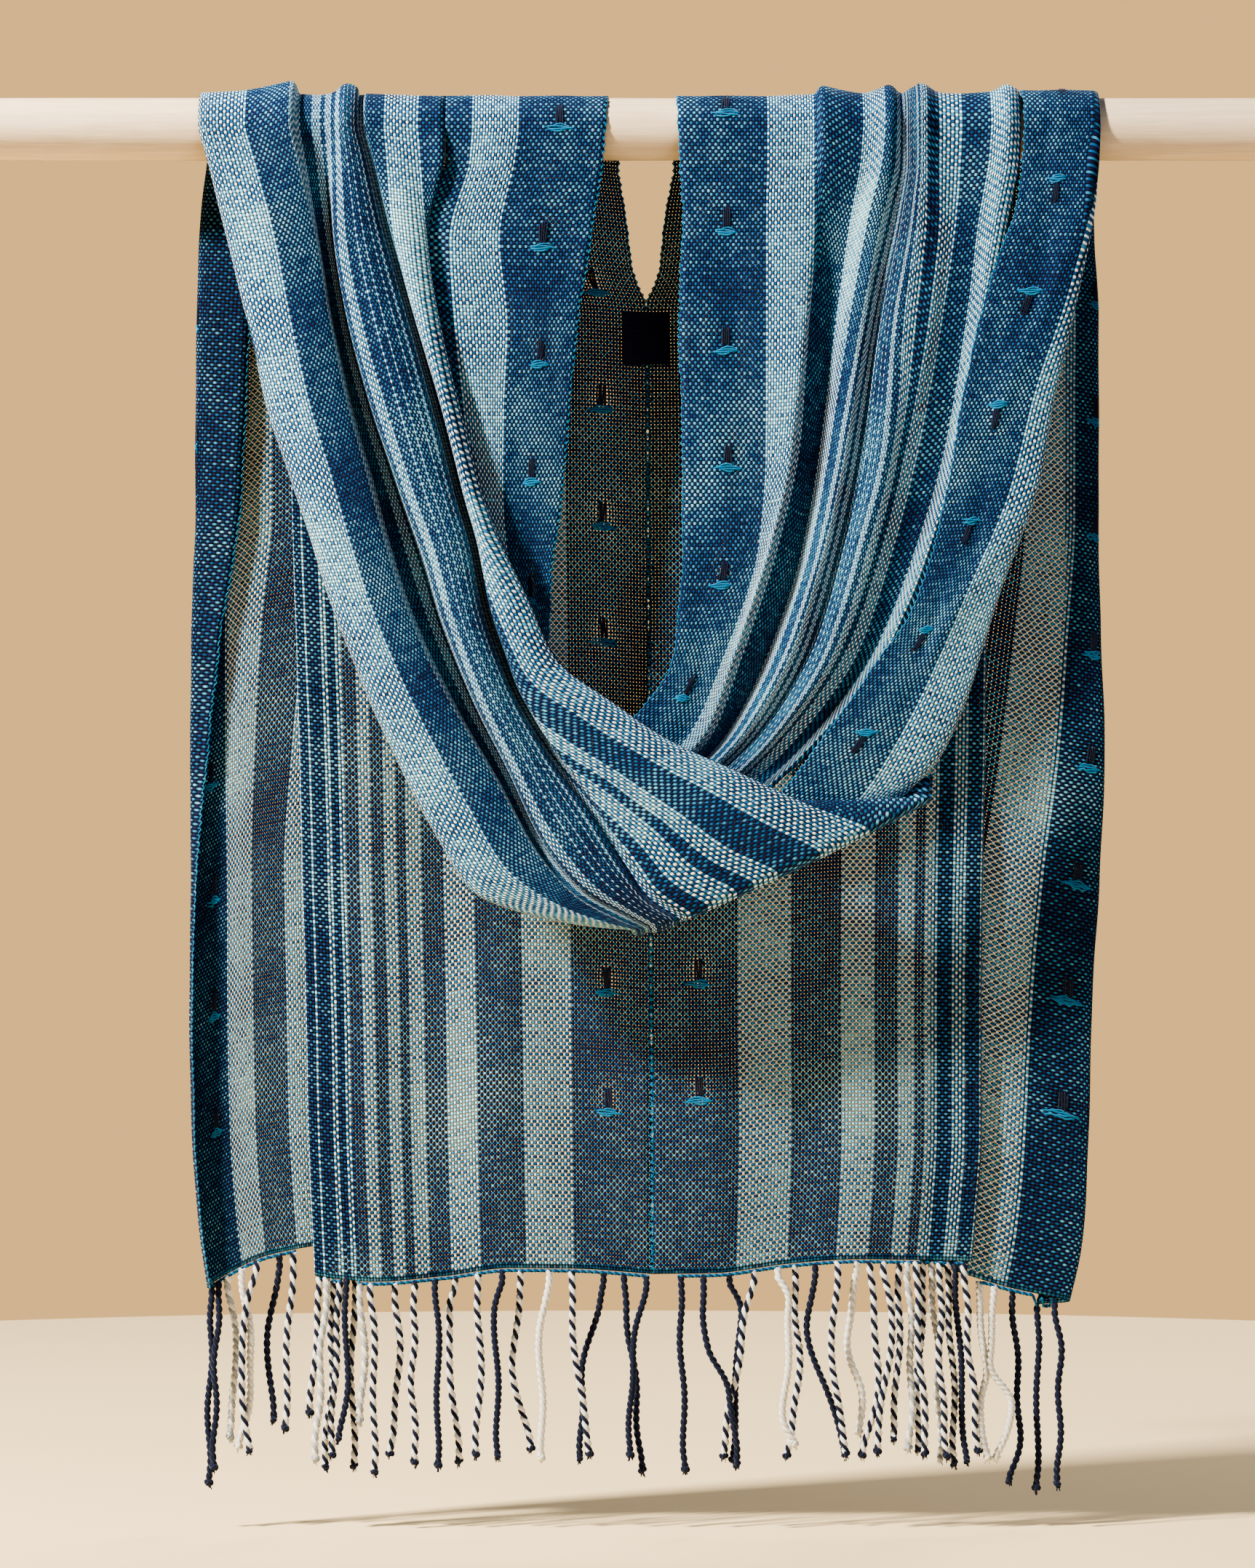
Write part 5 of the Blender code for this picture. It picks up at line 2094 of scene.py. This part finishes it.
@dataclass
class TapeLabel:
    """The bare ribbed tape sewn over the top of the centre seam.

    Attributes:
        centre: Its middle, x and z, in mm.
        width: Its size along the rod.
        tall: Its height.
        depth: How far behind the rod's axis it lies.
        ribs: How many ribs it has.
        finish: The tape's finish.
        wall: Its thickness.
        inset: Distance of the stitches from its edges.
        stitch: Distance between two stitches.
    """

    centre: tuple[float, float] = (14.5, -165.6)
    width: float = 37.2
    tall: float = 42.0
    depth: float = 24.5
    ribs: int = 32
    finish: NavyTape = NavyTape()
    wall: float = 0.6
    inset: float = 1.4
    stitch: float = 3.2

    def build(self, groups: Groups) -> list[bpy.types.Object]:
        """Makes the tape and its stitches.

        Args:
            groups: The shared node groups.

        Returns:
            The tape and the stitches.
        """
        rows, columns = self.ribs * 4 + 1, 17
        u, v = np.meshgrid(np.linspace(-0.5, 0.5, columns), np.linspace(0.5, -0.5, rows))
        x = self.centre[0] + u * self.width
        z = self.centre[1] + v * self.tall
        crown = 0.25 * np.cos(np.pi * u) * np.cos(np.pi * v)
        rib = 0.12 * np.cos(2 * np.pi * self.ribs * v)
        y = self.depth - 0.15 - crown - rib
        tape = grid_object("label_tape", np.stack([x, y, z], axis=-1), u * self.width, v * self.tall)
        tape.data.materials.append(self.finish.material(groups))
        add_wall(tape, self.wall)
        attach(tape, BODY)
        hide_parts("label")
        report(tape)
        return [tape, self.stitches(groups)]

    def stitches(self, groups: Groups) -> bpy.types.Object:
        """Makes the running stitches round the tape.

        Args:
            groups: The shared node groups.

        Returns:
            The new object.
        """
        tubes = Tubes("label_stitches", 4)
        half_x, half_z = self.width / 2 - self.inset, self.tall / 2 - self.inset
        corners = [(-half_x, -half_z), (half_x, -half_z), (half_x, half_z), (-half_x, half_z)]
        for a, b in zip(corners, corners[1:] + corners[:1]):
            length = math.dist(a, b)
            count = int(length / self.stitch)
            for i in range(count):
                start = between(a, b, (i + 0.15) / count)
                end = between(a, b, (i + 0.75) / count)
                middle = between(start, end, 0.5)
                line = [
                    (self.centre[0] + px, self.depth - lift, self.centre[1] + pz)
                    for (px, pz), lift in ((start, 0.3), (middle, 0.75), (end, 0.3))
                ]
                tubes.add(line, 0.22, Yarn.NAVY)
        return tubes.sew_on(groups, Slot.LABEL)


@dataclass
class Rod:
    """The sanded round rod with slightly eased ends.

    Attributes:
        radius: Its radius, in mm.
        length: Its length.
        edge: Width of the eased rim at its ends.
        sides: How many faces it has round.
        rings: How many cuts it has along.
        finish: The wood's finish.
    """

    radius: float = ROD_RADIUS
    length: float = 1060.0
    edge: float = 2.0
    sides: int = 96
    rings: int = 40
    finish: PaleWood = PaleWood()

    def build(self, groups: Groups) -> bpy.types.Object:
        """Makes the rod.

        Args:
            groups: The shared node groups.

        Returns:
            The new object.
        """
        bm = bmesh.new()
        half = self.length / 2 * MM
        bmesh.ops.create_cone(
            bm, cap_ends=True, segments=self.sides, radius1=self.radius * MM,
            radius2=self.radius * MM, depth=self.length * MM,
        )
        rims = [e for e in bm.edges if all(abs(abs(v.co.z) - half) < 1e-6 for v in e.verts)]
        bmesh.ops.bevel(
            bm, geom=rims, offset=self.edge * MM, segments=4, profile=0.5,
            affect="EDGES", material=-1,
        )
        sides = [e for e in bm.edges if abs(e.verts[0].co.z - e.verts[1].co.z) > half]
        bmesh.ops.subdivide_edges(bm, edges=sides, cuts=self.rings, use_grid_fill=True)
        for vert in bm.verts:
            x, y, z = vert.co
            wear = 1 - 0.004 * (1 + math.sin(z * 23.0 + 2.0 * math.sin(z * 9.0)))
            vert.co = (z, x * wear, y * wear)
        bmesh.ops.recalc_face_normals(bm, faces=bm.faces)
        mesh = new_mesh("rod_wood", bm)
        mesh.shade_smooth()
        mesh.set_sharp_from_angle(angle=math.radians(50))
        made = new_object("rod_wood", mesh)
        made.data.materials.append(self.finish.material(groups))
        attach(made, BODY)
        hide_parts("rod")
        report(made)
        return made


@dataclass
class Shawl:
    """The whole shawl: its stretches of cloth, seam and fringes."""

    groups: Groups

    def cloths(self) -> list[DrapedCloth]:
        """Lists the stretches of cloth, from the front to the back.

        Returns:
            One class for each stretch, not yet built.
        """
        near, far = MARK_CENTRE, FAR_CENTRE
        # The back panels' lift of 0.82 darkens their colours as painted shade.
        open_net = {"hem": True, "warp_share": 0.72, "weft_share": 0.70,
                    "warp_pitch": NET_PITCH, "lift": 0.82, "open_until": 476.0}
        return [
            LeftSwag(
                "left_swag_cloth", "left_swag", Weave("left_swag_weave", 900, 900),
                (0.27, 0.84), row_fineness=4, column_fineness=3,
                creases=SWAG_CREASES,
            ),
            LeftEdge(
                "left_edge_cloth", "left_edge", Weave("left_edge_weave", 38, 38),
                (0.128, 0.54), row_fineness=4, column_fineness=6, open_edges=(False, True),
                marks=(Marks(near, 38, 5),),
                creases=EDGE_CREASES,
            ),
            RightArm(
                "right_arm_cloth", "right_arm", Weave("right_arm_weave", 14, 14),
                (0.115, 0.7), row_fineness=4, column_fineness=3, open_edges=(True, False),
                marks=(Marks(near, 14, 7, -1.0),),
                creases=ARM_CREASES,
            ),
            RightFront(
                "right_front_cloth", "right_front", Weave("right_front_weave", 26, 26),
                (0.28, 0.68), row_fineness=4, column_fineness=4, open_edges=(True, False),
                marks=(Marks(near, 26, 6),),
                creases=RIGHT_CREASES,
            ),
            BackLeft(
                "back_left_cloth", "back_left",
                Weave("back_left_weave", 140, 125, **open_net),
                (0.55, 0.93), row_fineness=4, column_fineness=3, open_edges=(True, True),
                marks=(Marks(near, 140, 8, -1.0), Marks(far, 125, 8, -1.0)),
                creases=BACK_LEFT_CREASES,
            ),
            BackRight(
                "back_right_cloth", "back_right",
                Weave("back_right_weave", 151, 157, glow=0.3, **open_net),
                (0.55, 0.93), row_fineness=4, column_fineness=3, open_edges=(True, True),
                marks=(Marks(near, 151, 8, -1.0), Marks(far, 157, 8, -1.0)),
                creases=BACK_RIGHT_CREASES,
            ),
        ]

    def build(self) -> None:
        pieces = {}
        for cloth in self.cloths():
            made = cloth.build(self.groups)
            pieces[cloth.node] = (cloth, made)
        left_hem = pieces["back_left"][0].points[-1]
        right_hem = pieces["back_right"][0].points[-1]
        fringes = {
            "back_left": [
                self.fringe("fringe_left_outer", FRINGE_LEFT_OUTER, left_hem, -345, -262, True, 3),
                self.fringe("fringe_left", FRINGE_LEFT, left_hem, -257, 40, False, 5),
            ],
            "back_right": [
                self.fringe("fringe_right", FRINGE_RIGHT, right_hem, 10, 279, False, 7),
                self.fringe("fringe_right_outer", FRINGE_RIGHT_OUTER, right_hem, 279, 360, True, 9),
            ],
        }
        seam = CentreSeam(pieces["back_left"][0].points[:, -1])
        fringes["back_left"].append(seam.build(self.groups))

    def fringe(
        self, name: str, cords: tuple[Cord, ...], hem: np.ndarray, low: float, high: float,
        outer: bool, seed: int,
    ) -> bpy.types.Object:
        """Makes one fringe from the part of the hem between two places.

        Args:
            name: The node's name.
            cords: The cords' table.
            hem: The hem's points, in mm.
            low: The lowest x of the part.
            high: The highest x.
            outer: Whether it hangs from the layer behind the main one.
            seed: Starts the fringe's chances.

        Returns:
            The new object.
        """
        inside = (hem[:, 0] >= low) & (hem[:, 0] <= high)
        split = WRAP_RADIUS + LAYER * 1.45
        behind = hem[:, 1] > split if outer else hem[:, 1] <= split
        picked = hem[inside & behind]
        return Fringe(f"{name}_cords", name, cords, picked, seed).build(self.groups)


@dataclass
class Studio:
    """Plain pale floor, light that is strongest from the upper left, and the photograph's view.

    Attributes:
        floor_level: Height of the floor, in metres.
        floor_radius: Its radius.
        lens: The camera's focal length, in mm.
        frame_height: Height of the picture at the shawl, in metres.
        eye_level: Height of the camera.
        floor_color: The floor's colour.
        room_color: The room's colour to the camera.
        dim_color: Its colour as a light.
        room_seen: Its brightness to the camera.
        room_light: Its brightness as a light.
    """

    floor_level: float = -1.125
    floor_radius: float = 2.0
    lens: float = 135.0
    frame_height: float = 1.2505
    eye_level: float = -0.5243
    floor_color: tuple[float, float, float] = (0.92, 0.70, 0.41)
    room_color: tuple[float, float, float] = (1.0, 0.65, 0.30)
    dim_color: tuple[float, float, float] = (0.74, 0.82, 1.0)
    room_seen: float = 0.73
    room_light: float = 0.11

    SENSOR = 36.0
    LIT = (0.0, 0.0, -0.45)

    def build(self) -> None:
        """Makes the floor, lights, world and camera."""
        self.floor()
        self.light("key", (-2.8, -1.6, 2.2), self.LIT, 0.4, 400.0, (1.0, 0.97, 0.92))
        self.light("fill", (2.4, -3.2, 0.1), self.LIT, 2.0, 30.0, (0.52, 0.68, 1.0))
        self.light("behind", (1.9, 2.7, 1.6), self.LIT, 1.2, 70.0, (1.0, 0.96, 0.90))
        self.room()
        self.camera()
        bpy.context.scene.view_settings.look = "AgX - High Contrast"

    def floor(self) -> None:
        """Makes the floor."""
        bm = bmesh.new()
        bmesh.ops.create_circle(bm, cap_ends=True, segments=128, radius=self.floor_radius)
        bmesh.ops.translate(bm, vec=(0, 0, self.floor_level), verts=bm.verts)
        made = new_object("floor", new_mesh("floor", bm))
        material, _, shader = new_material("pale_floor")
        shader.inputs["Base Color"].default_value = (*self.floor_color, 1.0)
        shader.inputs["Roughness"].default_value = 0.95
        made.data.materials.append(material)

    def room(self) -> None:
        """Makes the pale room: bright to look at, and dimmer as a light."""
        world = bpy.data.worlds.new("pale_room")
        world.use_nodes = True
        sketch = Sketch(world.node_tree)
        background = world.node_tree.nodes["Background"]
        seen = sketch.node("ShaderNodeLightPath").outputs["Is Camera Ray"]
        color = sketch.blend(seen, self.dim_color, self.room_color)
        sketch.put(background.inputs["Color"], color)
        more = self.room_seen - self.room_light
        strength = sketch.math("MULTIPLY_ADD", seen, more, self.room_light)
        sketch.put(background.inputs["Strength"], strength)
        bpy.context.scene.world = world

    @staticmethod
    def light(
        name: str, place: Point, target: Point, size: float, power: float, color: Point
    ) -> None:
        """Adds a square area light.

        Args:
            name: The light's name.
            place: Where it stands, in metres.
            target: The point that it faces.
            size: The side of its square.
            power: Its power in watts.
            color: Its colour.
        """
        data = bpy.data.lights.new(name, "AREA")
        data.size = size
        data.energy = power
        data.color = color
        lamp = new_object(name, data)
        lamp.location = place
        aim = np.array(target) - np.array(place)
        yaw = math.atan2(aim[0], -aim[1])
        pitch = math.atan2(math.hypot(aim[0], aim[1]), -aim[2])
        lamp.rotation_euler = (pitch, 0.0, math.pi + yaw)

    def camera(self) -> None:
        """Adds the camera."""
        data = bpy.data.cameras.new("camera")
        data.lens = self.lens
        data.sensor_width = self.SENSOR
        distance = self.frame_height * self.lens / data.sensor_width
        eye = new_object("camera", data)
        eye.location = (0.0, -distance - 0.02, self.eye_level)
        eye.rotation_euler = (math.pi / 2, 0.0, 0.0)
        data.clip_end = 100.0
        bpy.context.scene.camera = eye


def write_sizes() -> None:
    """Updates the view layer.
    """
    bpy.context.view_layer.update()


def main() -> None:
    """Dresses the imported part."""
    logging.basicConfig(level=logging.INFO, format="%(name)s %(message)s")
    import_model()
    groups = Groups()
    Rod().build(groups)
    Shawl(groups).build()
    TapeLabel().build(groups)
    Studio().build()
    write_sizes()


if __name__ == "__main__":
    main()
